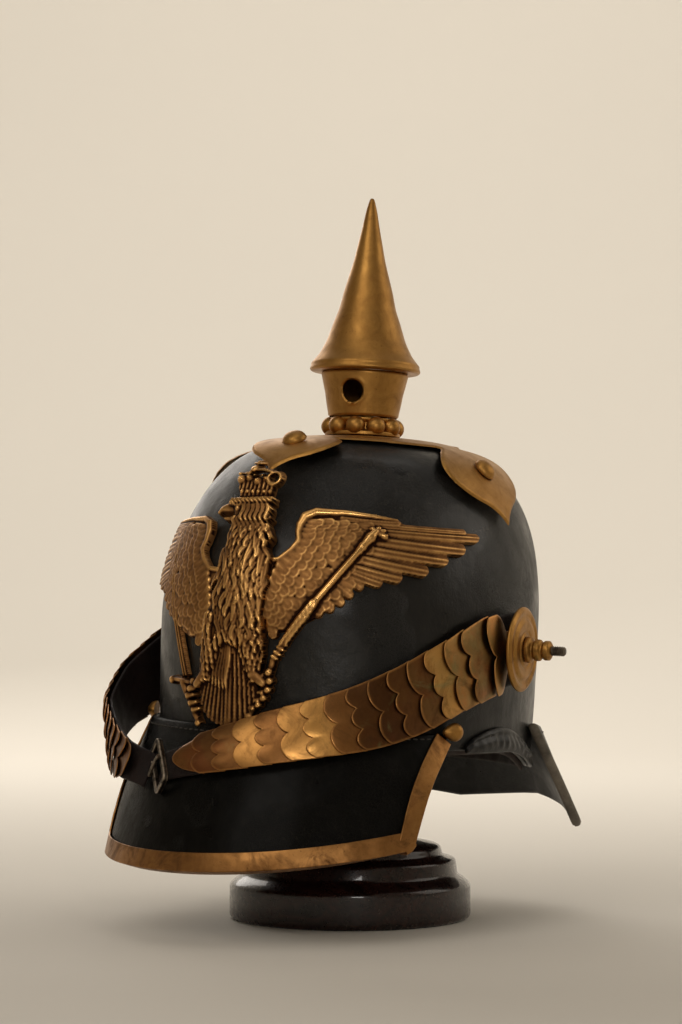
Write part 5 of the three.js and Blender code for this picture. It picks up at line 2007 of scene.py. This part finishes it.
    def plumage(self, relief: Relief, rng: np.random.Generator, swell: Array) -> None:
        """Flame-like locks over the chest and neck, the upper ones over the lower ones."""
        heights = np.concatenate([np.arange(58, 100, 4.3), np.arange(101, 118, 3.6)])
        for row, z in enumerate(heights):
            left = np.interp(z, [58, 74, 82, 92, 100, 112], [-8, -7.5, -9.5, -10, -8, -5.5])
            right = np.interp(z, [58, 74, 82, 92, 100, 112], [9, 15.4, 16, 15.4, 12.6, 11])
            count = int((right - left) / 3.3)
            for k in range(count + 1):
                share = (k + 0.5 * (row % 2)) / (count + 0.5)
                u = lerp(left, right, share) + rng.uniform(-0.35, 0.35)
                reach = rng.uniform(9.5, 14) if z < 100 else rng.uniform(8, 10)
                drift = (share - 0.5) * 2.2 + 1.6 * math.sin(z * 0.21 + share * 5)
                sway = 1.15 * math.sin(share * 7 + z * 0.17) + rng.uniform(-0.4, 0.4)
                under = 1.0 + swell + rng.uniform(-0.35, 0.35)
                end = (u + drift, z + 2.5 - reach)
                relief.lock((u, z + 2.5), end, rng.uniform(1.6, 2.3), under, sway, 1.5)

    def feet(self, relief: Relief) -> None:
        """Two feet whose knuckled toes grip the sceptre and the sword."""
        relief.rod([(13.2, 35, 3.0), (18, 31, 2.6)], 3.0, 0.9)
        relief.rod([(22.6, 42, 2.0), (20.6, 34, 2.0), (18, 24, 2.0), (12, 15, 1.9)], 1.4)
        relief.ball(11, 13.8, 2.6, 1.6, 0.9)
        toes = ((20.6, 35.8, 2.2), (21.4, 31.6, 2.3), (20.6, 27.2, 2.2), (18.6, 23, 2.1))
        for u, z, radius in (*toes, (16, 19.4, 1.9)):
            relief.ball(u + 0.4, z + 0.3, radius, 2.8, 1.1)
            claw = [(u - 2, z - 0.4, radius * 0.55), (u - 4.4, z - 1.2, radius * 0.5)]
            relief.rod(claw, 2.6, 1.1)
            relief.ball(u - 2.6, z - 1.6, radius * 0.6, 3.0, 1.1)
        relief.rod([(-14.8, 34, 2.8), (-20, 28, 2.4)], 2.6, 0.9)
        toes = ((-25, 25.4, 2.2), (-26.6, 21.8, 2.1), (-24.6, 18.2, 2.0), (-22.4, 15, 1.8))
        for u, z, radius in toes:
            relief.rod([(u, z, radius), (u + 3.6, z + 0.8, radius * 0.75)], 2.3)

    def sword(self, relief: Relief) -> None:
        """The sword: a grooved blade, a guard with ball ends, and a bound grip."""
        part = relief.near((-31.5, 31), (-57, 99), 5)
        along, across, length = relief.run((-31.5, 31), (-57, 99), part)
        shape = np.minimum(2.9 - np.abs(across), along * length)
        shape = np.minimum(shape, (1 - along) * length * 0.45)
        ridges = 0.5 * np.cos(across / 2.9 * 3 * np.pi)
        relief.lay(shape, 1.3 - ridges, part)
        relief.rod([(-41, 29.6, 1.6), (-24, 28.4, 1.6)], 1.2, 1.1)
        for u in (-41.6, -23.4):
            relief.ball(u, 29, 2.6, 1.2)
        relief.rod([(-32, 28, 2.4), (-21, 11, 1.9)], 1.0)
        for k in range(6):
            share = k / 5
            relief.ball(lerp(-31, -22, share), lerp(26.4, 12.8, share), 2.4, 0.9, 0.9)
        relief.ball(-20, 8.4, 2.4, 1.0)

    def head(self, relief: Relief) -> None:
        """The head in profile with its hooked, open beak, a brow and an eye."""
        lower = [(-9, 113.8), (-15.6, 113.2), (-18.6, 112.2), (-16.4, 110.2), (-11, 109.2)]
        upper = [(-8, 121), (-15, 120.4), (-19.6, 118.6), (-22.4, 115.2), (-21.4, 113.4)]
        relief.pillow([*lower, (-7, 109.8)], 2.6, 1.6, 1.8)
        relief.pillow([*upper, (-18.6, 115.2), (-12, 115), (-7, 114.6)], 3.0, 2.2, 2.4)
        skull = [(-9.6, 121), (-10.6, 117.4), (-9.4, 113), (-7.6, 107.6), (11.2, 107), (11.6, 121)]
        relief.pillow(skull, 4.3, 2.0, 5)
        for k in range(7):
            relief.lock((-8 + 2.7 * k, 112.5), (-6.4 + 2.8 * k, 101.5), 1.5, 5.8, -0.9, 1.1)
        for k in range(6):
            relief.lock((-4.6 + 2.8 * k, 120), (-2.4 + 2.9 * k, 108), 1.6, 6.1, 1.0, 1.1)
        relief.rod([(-12.6, 119.6, 1.0), (-6, 118.4, 1.1)], 6.2)
        relief.ball(-7.2, 116.6, 1.3, 6.2, 0.9)

    def crown(self, relief: Relief) -> None:
        """The crown: a twisted band, a ribbed circlet, two looped arches, an orb and a cross."""
        u, z = relief.u, relief.z
        ribs = 0.4 * np.cos((u + 1.4) * 2 * np.pi / 2.6) * smoothstep(-z, -134, -130)
        circlet = [(-10.5, 122), (9.5, 122), (11, 133), (5, 135), (-7, 135), (-13.5, 132)]
        relief.pillow(circlet, 2.4 + ribs, 1.0, 3)
        relief.ring(9.2, 134.2, 3.6, 1.3, 3.0)
        leaves = ((-11.4, 133.4, 3.0), (-6.4, 134.2, 2.4), (-0.6, 132.2, 2.6), (4.2, 133.6, 1.9))
        for spot_u, spot_z, radius in leaves:
            relief.ball(spot_u, spot_z, radius, 2.6, 0.8)
            relief.ball(spot_u, spot_z + 0.4, radius * 0.4, 5.0, 0.8)
        beads = ((-13.2, 136.6, 1.6), (-8.8, 137, 1.5), (-3.6, 136, 1.2), (1.6, 136, 1.2))
        for spot_u, spot_z, radius in beads:
            relief.ball(spot_u, spot_z, radius, 3.2, 0.9)
        for k in range(6):
            relief.ball(-9 + 3.5 * k, 126.4, 1.0, 3.6)
        relief.rod([(-7.6, 136.2, 1.3), (-5.6, 139.4, 1.5)], 3.4, 0.9)
        relief.rod([(7, 138, 1.3), (1.4, 139.6, 1.4), (-2.6, 139.6, 1.4)], 3.4, 0.9)
        relief.ball(-4.6, 140.2, 2.7, 3.0)
        relief.rod([(-4.6, 142, 1.1), (-4.8, 144.6, 1.2)], 2.8)
        relief.rod([(-7, 143.9, 1.0), (-2.4, 143.9, 1.0)], 2.8)
        along, across, _ = relief.run((-12.5, 120.4), (13, 121.6))
        twist = 0.6 * np.sin((u + (z - 120.6) * 1.35) * 2 * np.pi / 2.6)
        rope = np.where((along > 0) & (along < 1), 1.9 - np.abs(across), -1.0)
        relief.lay(rope, 6.0 + 1.3 * domed(np.abs(across / 1.9)) + twist)

    def build(self) -> None:
        """Makes the two wings and the body."""
        plain, held = self.wing(), self.wing()
        self.sceptre(held)

        def mirrored(u: Array, z: Array, lift: Array) -> Array:
            """The place on the other side, a little lower."""
            return self.place(-u, z - self.right_wing_drop, lift)

        body = self.body().solid(self.place, self.plate)
        add_piece("eagle_body", body, EAGLE_BRASS, ["eagle_plate"])
        add_piece("eagle_wing_left", held.solid(self.place, self.plate), EAGLE_BRASS)
        add_piece("eagle_wing_right", plain.solid(mirrored, self.plate), EAGLE_BRASS)


# ------------------------------------------------------------------ chinscales


def left_route() -> Array:
    """The left band's middle line: rows of place, width and lean."""
    rows = [(165, 51.5, 0.8, 42, 0), (140, 47, 0.8, 42, 0), (115, 37, 0.9, 38, 0)]
    rows += [(90, 25, 1.8, 36, 4), (68, 16, 4.4, 33, 12), (48, 10, 6.8, 30, 18)]
    rows += [(28, 4.5, 9, 28, 22), (10, -1, 11, 25.5, 24), (-8, -6.5, 13, 22, 24)]
    rows += [(-20, -10.5, 14.4, 19, 24), (-32, -14.5, 15.8, 18, 24)]
    arc, height, lift, width, lean = np.array(rows).T
    return np.column_stack([FORM.on_shell(arc, height, lift), width, lean])


def right_route() -> Array:
    """The right band's middle line, which hangs away from the helmet in a bow."""
    start = FORM.on_shell([-174, -161], [49.5, 44.5], [0.8, 1.9])
    rows = [(*start[0], 42, 0), (*start[1], 42, 4), (-101.6, -20, 36.3, 40, 5)]
    rows += [(-105.9, -35, 26.5, 38, 1), (-108.2, -52.6, 15, 35, -5)]
    rows += [(-100.2, -75.6, 3, 30.5, -12), (-82.5, -97.4, -7, 27, -4)]
    rows += [(-65.5, -113, -13, 22, 10), (-50, -121.5, -15.5, 20, 20)]
    return np.array(rows)


class Band:
    """One half of the chin strap: a smooth line with a width and a lean along it."""

    def __init__(self, route: Array, side: Side, tail: float, hook: float = 0) -> None:
        """Works out the band's line.

        Args:
            route: rows of place, width and lean.
            side: which side of the helmet the band is on.
            tail: how much of the leather shows past the last scale.
            hook: how far the leather runs on past the line's end, bent in to the buckle's bar.
        """
        self.hook = hook
        self.side = side.value
        self.route = route
        self.dense = self.centripetal(route[:, :3], 200)
        steps = np.linalg.norm(np.diff(self.dense, axis=0), axis=1)
        self.arcs = np.concatenate([[0], np.cumsum(steps)])
        self.length = float(self.arcs[-1])
        self.shares = np.linspace(0, len(route) - 1, len(self.dense))
        self.tail = tail

    @staticmethod
    def centripetal(places: Array, per_row: int) -> Array:
        """A centripetal Catmull-Rom curve through the places, a number of points for each row."""
        padded = with_ends(places)
        parts = []
        t = np.linspace(0, 1, per_row, endpoint=False)[:, None]
        for i in range(len(places) - 1):
            p0, p1, p2, p3 = padded[i : i + 4]
            pairs = ((p0, p1), (p1, p2), (p2, p3))
            d0, d1, d2 = (math.sqrt(np.linalg.norm(b - a)) for a, b in pairs)
            m1 = ((p1 - p0) / d0 - (p2 - p0) / (d0 + d1) + (p2 - p1) / d1) * d1
            m2 = ((p2 - p1) / d1 - (p3 - p1) / (d1 + d2) + (p3 - p2) / d2) * d1
            cubic = 2 * p1 - 2 * p2 + m1 + m2
            square = -3 * p1 + 3 * p2 - 2 * m1 - m2
            parts.append(p1 + m1 * t + square * t**2 + cubic * t**3)
        return np.concatenate([*parts, places[-1:]])

    def at(self, distance: Array) -> tuple[Array, Array]:
        """The line's point at a distance along it, and its direction there."""
        inside = np.clip(distance, 0, self.length)

        def on_line(arc: Array) -> Array:
            """The line's point at an arc length."""
            arc = np.clip(arc, 0, self.length)
            return stack(*(np.interp(arc, self.arcs, line) for line in self.dense.T))

        along = unit(on_line(inside + 1.5) - on_line(inside - 1.5))
        return on_line(inside) + along * (distance - inside)[..., None], along

    def axes(self, distance: Array) -> tuple[Array, Array, Array, Array, Array]:
        """The point, the directions along, out and up, and half the width at a distance."""
        place, along = self.at(distance)
        share = np.interp(np.clip(distance, 0, self.length), self.arcs, self.shares)
        rows = np.arange(len(self.route))
        half = np.interp(share, rows, self.route[:, 3]) / 2
        lean = np.radians(np.interp(share, rows, self.route[:, 4]))
        flat = unit(stack(-along[..., 1], along[..., 0], 0.0)) * self.side
        out = flat * np.cos(lean)[..., None] + stack(0.0, 0.0, np.sin(lean))
        out = unit(out - along * (out * along).sum(-1, keepdims=True))
        up = np.cross(out, along) * -self.side
        return place, along, out, up, half

    def point(self, distance: Array, across: Array, lift: Array) -> Array:
        """A point at a distance along, a share of the half width across and a height off."""
        place, _, out, up, half = self.axes(distance)
        return place + up * (across * half)[..., None] + out * lift[..., None]


@dataclass(frozen=True)
class ChinScales:
    """A band of lobed scales on its leather strap."""

    count: int = 16
    metal: float = 0.7
    gap: float = 0.5
    overlap: float = 6
    first_edge: float = 33
    first_root: float = 1
    first_tuck: float = 4.5
    dome: float = 1.6
    notch: float = 4.6
    last_notch: float = 0.55
    puff: float = 0.42
    leather: float = 2
    strap_start: float = -10
    strap_width: float = 27
    scale_width: float = 34
    tints: tuple[float, ...] = (
        0.7, 0.5, 0.62, 0.95, 0.26, 0.14, 0.1, 0.2, 0.4, 0.84, 0.8, 0.42, 0.66, 0.4, 0.2, 0.34,
    )

    def strap(self, band: Band) -> Solid:
        """The leather under the scales, with a round end under the rosette."""
        length = band.length + band.hook - self.strap_start

        def middle(a: Array, b: Array) -> Array:
            """The strap's middle surface, rounded at its start and bent in along its hook."""
            distance = self.strap_start + length * a
            share = np.clip((distance - self.strap_start) / 8, 0, 1)
            round_end = (0.55 + 0.45 * np.sin(share * np.pi / 2)) * 0.9
            bend = smoothstep(distance, band.length - 3, band.length + band.hook + 1)
            lift = self.leather / 2 - 0.9 * band.hook * bend
            return band.point(distance, (2 * b - 1) * round_end, lift)

        def half(a: Array, b: Array) -> Array:
            """Half the leather, rounded over at its edges."""
            nearest = edge_gap(a, b, length, self.strap_width)
            return self.leather / 2 * round_edge(nearest, 1.0)

        return slab(middle, edge_spaced(150, length, 1), edge_spaced(12, self.strap_width, 1), half)

    def scale(self, band: Band, number: int, tint: float) -> Solid:
        """One scale: its root lies under the scale before it and its lobed edge over the next.

        Args:
            band: the band that it is on.
            number: its place from the rosette, from 0.
            tint: how golden it is, from 0 to 1.
        Returns:
            The scale, with the values tint and edge.
        """
        last = number == self.count - 1
        lobes = 1 if last else 2 + number % 2
        pitch = (band.length - self.first_edge - band.tail) / (self.count - 1)
        reach = pitch + self.overlap
        edge_at = self.first_edge + number * pitch
        if number == 0:
            edge_at -= self.first_tuck
            reach = edge_at - self.first_root
        if number == 1:
            reach += self.first_tuck
        root = edge_at - reach
        climb = (self.metal + self.gap) / pitch
        shares = edge_spaced(14 * lobes, self.scale_width, 0.8), edge_spaced(16, reach, 0.8)
        a, b = np.meshgrid(*shares)
        across = 2 * a - 1
        arch = np.abs(np.sin(np.pi * lobes * a))
        notch = (1 - arch**0.6) * (reach * self.last_notch if last else self.notch)
        along = b * (reach - notch)
        taper = 1 - 0.25 * b if last else 1.0
        if number == 0:
            taper = np.maximum(0.5, 1 - 3 * np.maximum(0, 0.82 - b) ** 2)
        puff = self.puff * arch * smoothstep(b, 0.35, 0.95)
        lift = self.leather + self.gap + climb * along + self.dome * (1 - across**2) + puff
        nearest = edge_gap(a, b, self.scale_width, reach)
        thick = self.metal * round_edge(nearest, 0.55)
        middle = lift + self.metal / 2
        free = (reach - notch) * (1 - b)
        # edge: 1 along the free edge and the sides, where the finish paints a highlight
        edge = smoothstep(np.minimum(free, np.minimum(a, 1 - a) * self.scale_width), 1.6, 0.2)
        patina = float(smoothstep(-number, -5.5, -0.5)) if band.side > 0 else 0.0
        values = {"tint": 0 * a + tint, "edge": edge, "patina": 0 * a + patina}
        outer = band.point(root + along, across * taper, middle + thick / 2)
        inner = band.point(root + along, across * taper, middle - thick / 2)
        return Solid.between(outer, inner, values)

    def build(self, side: Side, band: Band) -> None:
        """Makes one band: its strap and its scales, each with its own tint, which on the right band
        is darkened as painted shade.
        """
        name = side.label
        add_piece(f"chin_strap_{name}", self.strap(band), STRAP_LEATHER, [f"strap_{name}"])
        rng = np.random.default_rng(20 + side.value)
        # painted shade: the right band's scales get darker tints for the shade that they lie in
        painted_band_shade = 1 if side is Side.LEFT else 0.6
        for number in range(self.count):
            shade = self.tints[number] * painted_band_shade + rng.uniform(-0.06, 0.06)
            label = f"{number + 1:02d}"
            scale = self.scale(band, number, shade)
            add_piece(f"chin_scale_{name}_{label}", scale, CHIN_BRASS, [f"scale_{name}_{label}"])


@dataclass(frozen=True)
class Rosette:
    """A boss that holds the chin strap: a ringed disc, its post and the screw at its end."""

    side: Side
    arc: float
    height: float
    lift: float
    turn: float
    shank: float

    def seat(self) -> tuple[Array, Array]:
        """The disc's foot and the axes that it stands on."""
        arc = self.arc * self.side.value
        foot = FORM.on_shell(arc, self.height, self.lift)
        back = math.radians(self.turn)
        normal = np.array([self.side.value * math.cos(back), math.sin(back), 0])
        return foot, frame_axes(normal, np.array([0, 0, 1.0]))

    def disc(self) -> Solid:
        """The turned disc with a rolled rim, a groove and a raised middle."""
        rows = [(0, -self.shank), (4, -self.shank), (4, 0), (21.8, 0), (22, 0.5), (22, 1.3)]
        rows += [(20.2, 2.5), (18.6, 2.35), (17.8, 1.9), (16.2, 1.9), (15.2, 2.7), (14, 3.2)]
        rows += [(10.5, 3.0), (9.5, 2.5), (8.6, 2.6), (7.8, 3.3), (0, 3.3)]
        return Solid.lathe(filleted(rows, 0.45), 96)

    def post(self) -> Solid:
        """The post's turned collars."""
        rows = [(0, 3.4), (6.3, 3.4), (6.8, 4.0), (6.8, 5.9), (4.7, 6.8), (4.6, 7.7), (5.6, 8.5)]
        rows += [(5.6, 10.9), (4.4, 11.7), (4.3, 12.7), (5.1, 13.4), (5.1, 15.9), (3.6, 16.9)]
        return Solid.lathe(filleted([*rows, (2.3, 17.2), (0, 17.2)], 0.5), 48)

    def screw(self) -> Solid:
        """The screw at the post's end, whose thread winds up it."""
        rows = np.stack([np.full(80, 2.3), np.linspace(17.25, 23.8, 80)], axis=1)
        profile = np.concatenate([[[0, 17.25]], rows, [[1.7, 24.4], [0, 24.4]]])

        def thread(points: Array, turn: Array) -> Array:
            """The points moved out and in along a ramp that winds up the screw."""
            height = points[..., 2]
            on_screw = smoothstep(height, 17.3, 17.8) * smoothstep(-height, -23.9, -23.4)
            wave = np.abs(((height / 0.95 - turn / (2 * np.pi)) % 1.0) * 2 - 1)
            grow = 1 + on_screw * (wave - 0.5) * 0.26
            return points * stack(grow, grow, 1.0)

        return Solid.lathe(profile, 48, thread)

    def build(self) -> None:
        """Makes the disc and its post."""
        name = self.side.label
        foot, axes = self.seat()
        disc, post = (part.placed(foot, axes) for part in (self.disc(), self.post()))
        add_piece(f"boss_disc_{name}", disc, BOSS_BRASS, [f"rosette_{name}"])
        add_piece(f"boss_post_{name}", post, BOSS_BRASS, [f"rosette_post_{name}"])
        screw = self.screw().placed(foot, axes).with_value("wear", 0.35)
        add_piece(f"boss_screw_{name}", screw, STEEL)


@dataclass(frozen=True)
class BindingStud:
    """The pointed stud where the binding's end meets the shell."""

    side: Side
    arc: float = 116
    height: float = 9.5
    lift: float = 5.0
    radius: float = 4.7
    rise: float = 5.0
    stretch: float = 1.55

    def build(self) -> None:
        """Makes the stud: a dome drawn out to a point towards the front."""

        def drawn(points: Array, turn: Array) -> Array:
            """The points drawn out on the dome's front side and narrowed there."""
            point = np.maximum(0, -np.cos(turn)) ** 1.5 * (self.stretch - 1)
            narrow = 1 - 0.12 * np.maximum(0, -np.cos(turn))
            return points * stack(1 + point, narrow, 1.0)

        profile = [[(0, 0), (self.radius, 0)], dome_rows(self.radius, 0.8, self.rise, 14)]
        stud = Solid.lathe(np.concatenate(profile), 40, drawn)
        arc = self.side.value * self.arc
        foot = FORM.on_shell(arc, self.height, self.lift + 0.4)
        outward = FORM.normal(FORM.turn_at(arc), self.height)
        back = np.array([-outward[1], outward[0], 0]) * self.side.value
        name = self.side.label
        placed = stud.placed(foot, frame_axes(outward, back))
        add_piece(f"binding_stud_{name}", placed, SPIKE_BRASS, [f"trim_stud_{name}"])


@dataclass(frozen=True)
class Buckle:
    """The flat buckle between the two bands, with its prong."""

    lean: float = 24
    twist: float = 24
    along: float = 15
    across: float = 28
    bar: float = 2.8
    thick: float = 2.2
    corner: float = 3

    def frame_ring(self) -> Solid:
        """The ring: a rounded bar carried round a rectangle with round corners."""
        x, y = (self.along - self.bar) / 2, (self.across - self.bar) / 2
        r = self.corner - self.bar / 2 + 0.6
        parts = []
        for quarter, (way_x, way_y) in enumerate(((1, 1), (-1, 1), (-1, -1), (1, -1))):
            turn = np.radians(np.linspace(90 * quarter, 90 * quarter + 90, 9))
            centre = way_x * (x - r), way_y * (y - r)
            parts.append(np.stack([np.cos(turn), np.sin(turn)], axis=1) * r + centre)
        line = np.concatenate(parts)
        run = unit(np.roll(line, -1, axis=0) - np.roll(line, 1, axis=0))
        path = stack(line[:, 0], line[:, 1], self.thick / 2)
        out = stack(run[:, 1], -run[:, 0], 0.0)
        up = np.tile([0.0, 0.0, 1.0], (len(path), 1))
        w, h = self.bar / 2, self.thick * 0.62
        rows = [(w, 0), (w, h), (-w, h), (-w, -h), (w, -h), (w, 0)]
        section = filleted(rows, 0.8, 5)[:-1]
        ring = swept(path, out, up, section, closed=True)
        out_to_edge = np.hypot(*(section / [w, h]).T)
        ring.values["wear"] = np.tile(smoothstep(out_to_edge, 1.0, 1.25), len(path))
        return ring

    def prong(self) -> Solid:
        """The prong: a round pin, bent a little over the front bar."""
        rows = np.linspace(-1, 1, 25)
        path = stack(rows * self.along / 2, 0.0, 0.5 * np.cos(rows * 1.4))
        out = np.tile([0.0, 1.0, 0.0], (25, 1))
        up = np.tile([0.0, 0.0, 1.0], (25, 1))
        turn = round_turns(16)
        section = np.stack([np.cos(turn), np.sin(turn)], axis=1)
        return swept(path, out, up, section).with_value("wear", 0.5)

    def build(self, band: Band) -> None:
        """Makes the buckle on the end of the left band."""
        at, centred, lift = (np.array(x) for x in (band.length - 1, 0.0, 2.5))
        middle = band.point(at, centred, lift)
        ahead = unit(band.point(at + 1, centred, lift) - middle)
        outward = unit(band.point(at, centred, lift + 1) - middle)
        lean, twist = math.radians(self.lean), math.radians(self.twist)
        ahead = ahead * math.cos(lean) + unit(np.cross(outward, ahead)) * math.sin(lean)
        outward = outward * math.cos(twist) + unit(ahead) * math.sin(twist)
        axes = frame_axes(outward, ahead)
        add_piece("buckle_ring", self.frame_ring().placed(middle, axes), STEEL, ["buckle_frame"])
        above = middle + axes[2] * (self.thick + 1.4)
        add_piece("buckle_pin", self.prong().placed(above, axes), STEEL, ["buckle_prong"])


# ------------------------------------------------------------------ the stand


@dataclass(frozen=True)
class Stand:
    """The turned stand: a plain round foot, a post and the block inside the helmet."""

    drawn_radius: float = 65
    drawn_height: float = 254
    rows: tuple[Pair, ...] = (
        (0, 0), (63, 0), (65, 2), (65, 18.5), (62.5, 21), (58, 24), (57, 32), (50, 34), (49, 38.5),
        (46, 40), (22, 45), (17, 60), (15, 110), (17, 190), (30, 214), (44, 226), (47, 236),
        (42, 245), (26, 251.5), (0, 254),
    )

    def build(self) -> None:
        """Makes the stand in the row frame, scaled to the frame's own stand."""
        low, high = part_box("stand")
        wide = (high.x - low.x) / 2 / MM / self.drawn_radius
        tall = (high.z - low.z) / MM / self.drawn_height
        solid = Solid.lathe(filleted(self.rows, 1.6, 5) * np.array([wide, tall]), 160)
        add_piece("turned_stand", solid, LACQUER, ["stand"], lambda corners: corners * MM)


# ------------------------------------------------------------------ the studio


@dataclass(frozen=True)
class SoftLight:
    """A square soft light: its side in metres, power in watts, and place round the helmet.

    The azimuth is in degrees from the front towards +X, and the distance in metres.
    """

    name: str
    size: float
    power: float
    colour: Colour
    azimuth: float = 0
    elevation: float = 0
    distance: float = 0

    def hang_at(self, place: Vector, aim: Vector) -> None:
        """Hangs the light at a place, facing along aim and unseen by the camera.

        Args:
            place: where it hangs, in metres.
            aim: the way that it faces.
        """
        data = bpy.data.lights.new(self.name, "AREA")
        data.size = self.size
        data.energy = self.power
        data.color = self.colour
        lamp = bpy.data.objects.new(self.name, data)
        lamp.location = place
        lamp.rotation_euler = aim.to_track_quat("-Z", "Y").to_euler()
        lamp.visible_camera = False
        bpy.context.scene.collection.objects.link(lamp)

    def hang(self) -> None:
        """Hangs the light round the helmet, facing the middle of it."""
        a, e = math.radians(self.azimuth), math.radians(self.elevation)
        back = Vector((math.sin(a) * math.cos(e), -math.cos(a) * math.cos(e), math.sin(e)))
        self.hang_at(Vector((0, 0, 0.2)) + back * self.distance, -back)


@dataclass(frozen=True)
class Studio:
    """A pale floor that sweeps up into a pale wall, soft lights and the camera."""

    floor_radius: float = 1.8
    sweep: float = 2.2
    wall_height: float = 4.0
    wall_colour: Colour = (0.74, 0.70, 0.63)
    air_colour: Colour = (1.0, 0.9, 0.78)
    air_strength: float = 0.19
    camera_place: Triple = (0.6387, -1.0629, 0.144)
    camera_pitch: float = 3.47
    camera_turn: float = 31.2266
    lens: float = 80
    lights: tuple[SoftLight, ...] = (
        SoftLight("window_light", 1.1, 7, (1.0, 0.94, 0.86), 2, 36, 2.0),
        SoftLight("room_window", 0.45, 6.5, (1.0, 0.97, 0.93), 38, 8, 2.4),
        SoftLight("top_fill", 1.4, 4, (1.0, 0.95, 0.88), 40, 72, 2.2),
        SoftLight("left_fill", 1.2, 9, (1.0, 0.95, 0.9), -128, 26, 2.2),
        SoftLight("right_fill", 1.4, 6, (1.0, 0.93, 0.84), 125, 28, 2.2),
    )

    def backdrop(self) -> None:
        """The floor and wall: one turned sheet round the whole scene."""
        turn = round_turns(96)[None, :]
        bend = np.linspace(0, np.pi / 2, 20)
        curve = self.floor_radius + self.sweep * np.sin(bend)
        radii = np.concatenate([[0, 0.3], curve, [self.floor_radius + self.sweep]])
        heights = np.concatenate([[0, 0], self.sweep * (1 - np.cos(bend)), [self.wall_height]])
        radii, heights = radii[:, None], heights[:, None]
        points = stack(radii * np.cos(turn), radii * np.sin(turn), heights)
        sheet = Solid.grid(points, wrap_columns=True)
        mesh = bpy.data.meshes.new("studio_sweep")
        mesh.from_pydata(sheet.corners.tolist(), [], sheet.faces.tolist())
        mesh.validate()
        mesh.shade_smooth()
        bench = NodeBench("studio_paint")
        darker = tuple(0.94 * c for c in self.wall_colour)
        shade = bench.mix(bench.noise(0.7, 2), self.wall_colour, darker)
        mesh.materials.append(bench.finish(Base_Color=shade, Roughness=0.9))
        floor = bpy.data.objects.new("studio_sweep", mesh)
        bpy.context.scene.collection.objects.link(floor)
        floor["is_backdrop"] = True

    def camera(self) -> None:
        """The camera, low and a little to the wearer's left of the front."""
        data = bpy.data.cameras.new("studio_camera")
        data.lens = self.lens
        data.sensor_width = 36
        camera = bpy.data.objects.new("studio_camera", data)
        camera.location = self.camera_place
        pitch, turn = math.radians(90 + self.camera_pitch), math.radians(self.camera_turn)
        camera.rotation_euler = (pitch, 0, turn)
        bpy.context.scene.collection.objects.link(camera)
        bpy.context.scene.camera = camera

    def build(self) -> None:
        """Sets up the whole studio."""
        self.backdrop()
        self.camera()
        for light in self.lights:
            light.hang()
        wall_light = SoftLight("wall_light", 2.0, 72, (1.0, 0.95, 0.88))
        wall_light.hang_at(Vector((-0.4, 0.9, 2.6)), Vector((-0.55, 1.0, -0.55)))
        world = bpy.data.worlds.new("studio_air")
        world.use_nodes = True
        background = world.node_tree.nodes["Background"]
        background.inputs[0].default_value = (*self.air_colour, 1)
        background.inputs[1].default_value = self.air_strength
        bpy.context.scene.world = world
        bpy.context.scene.view_settings.view_transform = "Standard"


def write_sizes() -> None:
    boxes = {"cad": CAD_BOX, "visual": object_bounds()}
    {name: [list(corner) for corner in box] for name, box in boxes.items()}


def main() -> None:
    """Builds the studio and every piece of the helmet, in order."""
    logging.basicConfig(level=logging.INFO, format="%(name)s: %(message)s")
    Studio().build()
    Shell().build()
    FrontVisor().build()
    RearVisor().build()
    SpikeBase().build()
    Spike().build()
    Eagle().build()
    bands = {
        Side.LEFT: Band(left_route(), Side.LEFT, 14),
        Side.RIGHT: Band(right_route(), Side.RIGHT, 3, hook=5),
    }
    for side, band in bands.items():
        ChinScales().build(side, band)
        BindingStud(side).build()
    Rosette(Side.LEFT, 163.5, 51.5, 7.5, 7, 3.9).build()
    Rosette(Side.RIGHT, 172, 48, 9.2, 14, 4.9).build()
    Buckle().build(bands[Side.LEFT])
    Stand().build()
    write_sizes()


if __name__ == "__main__":
    main()
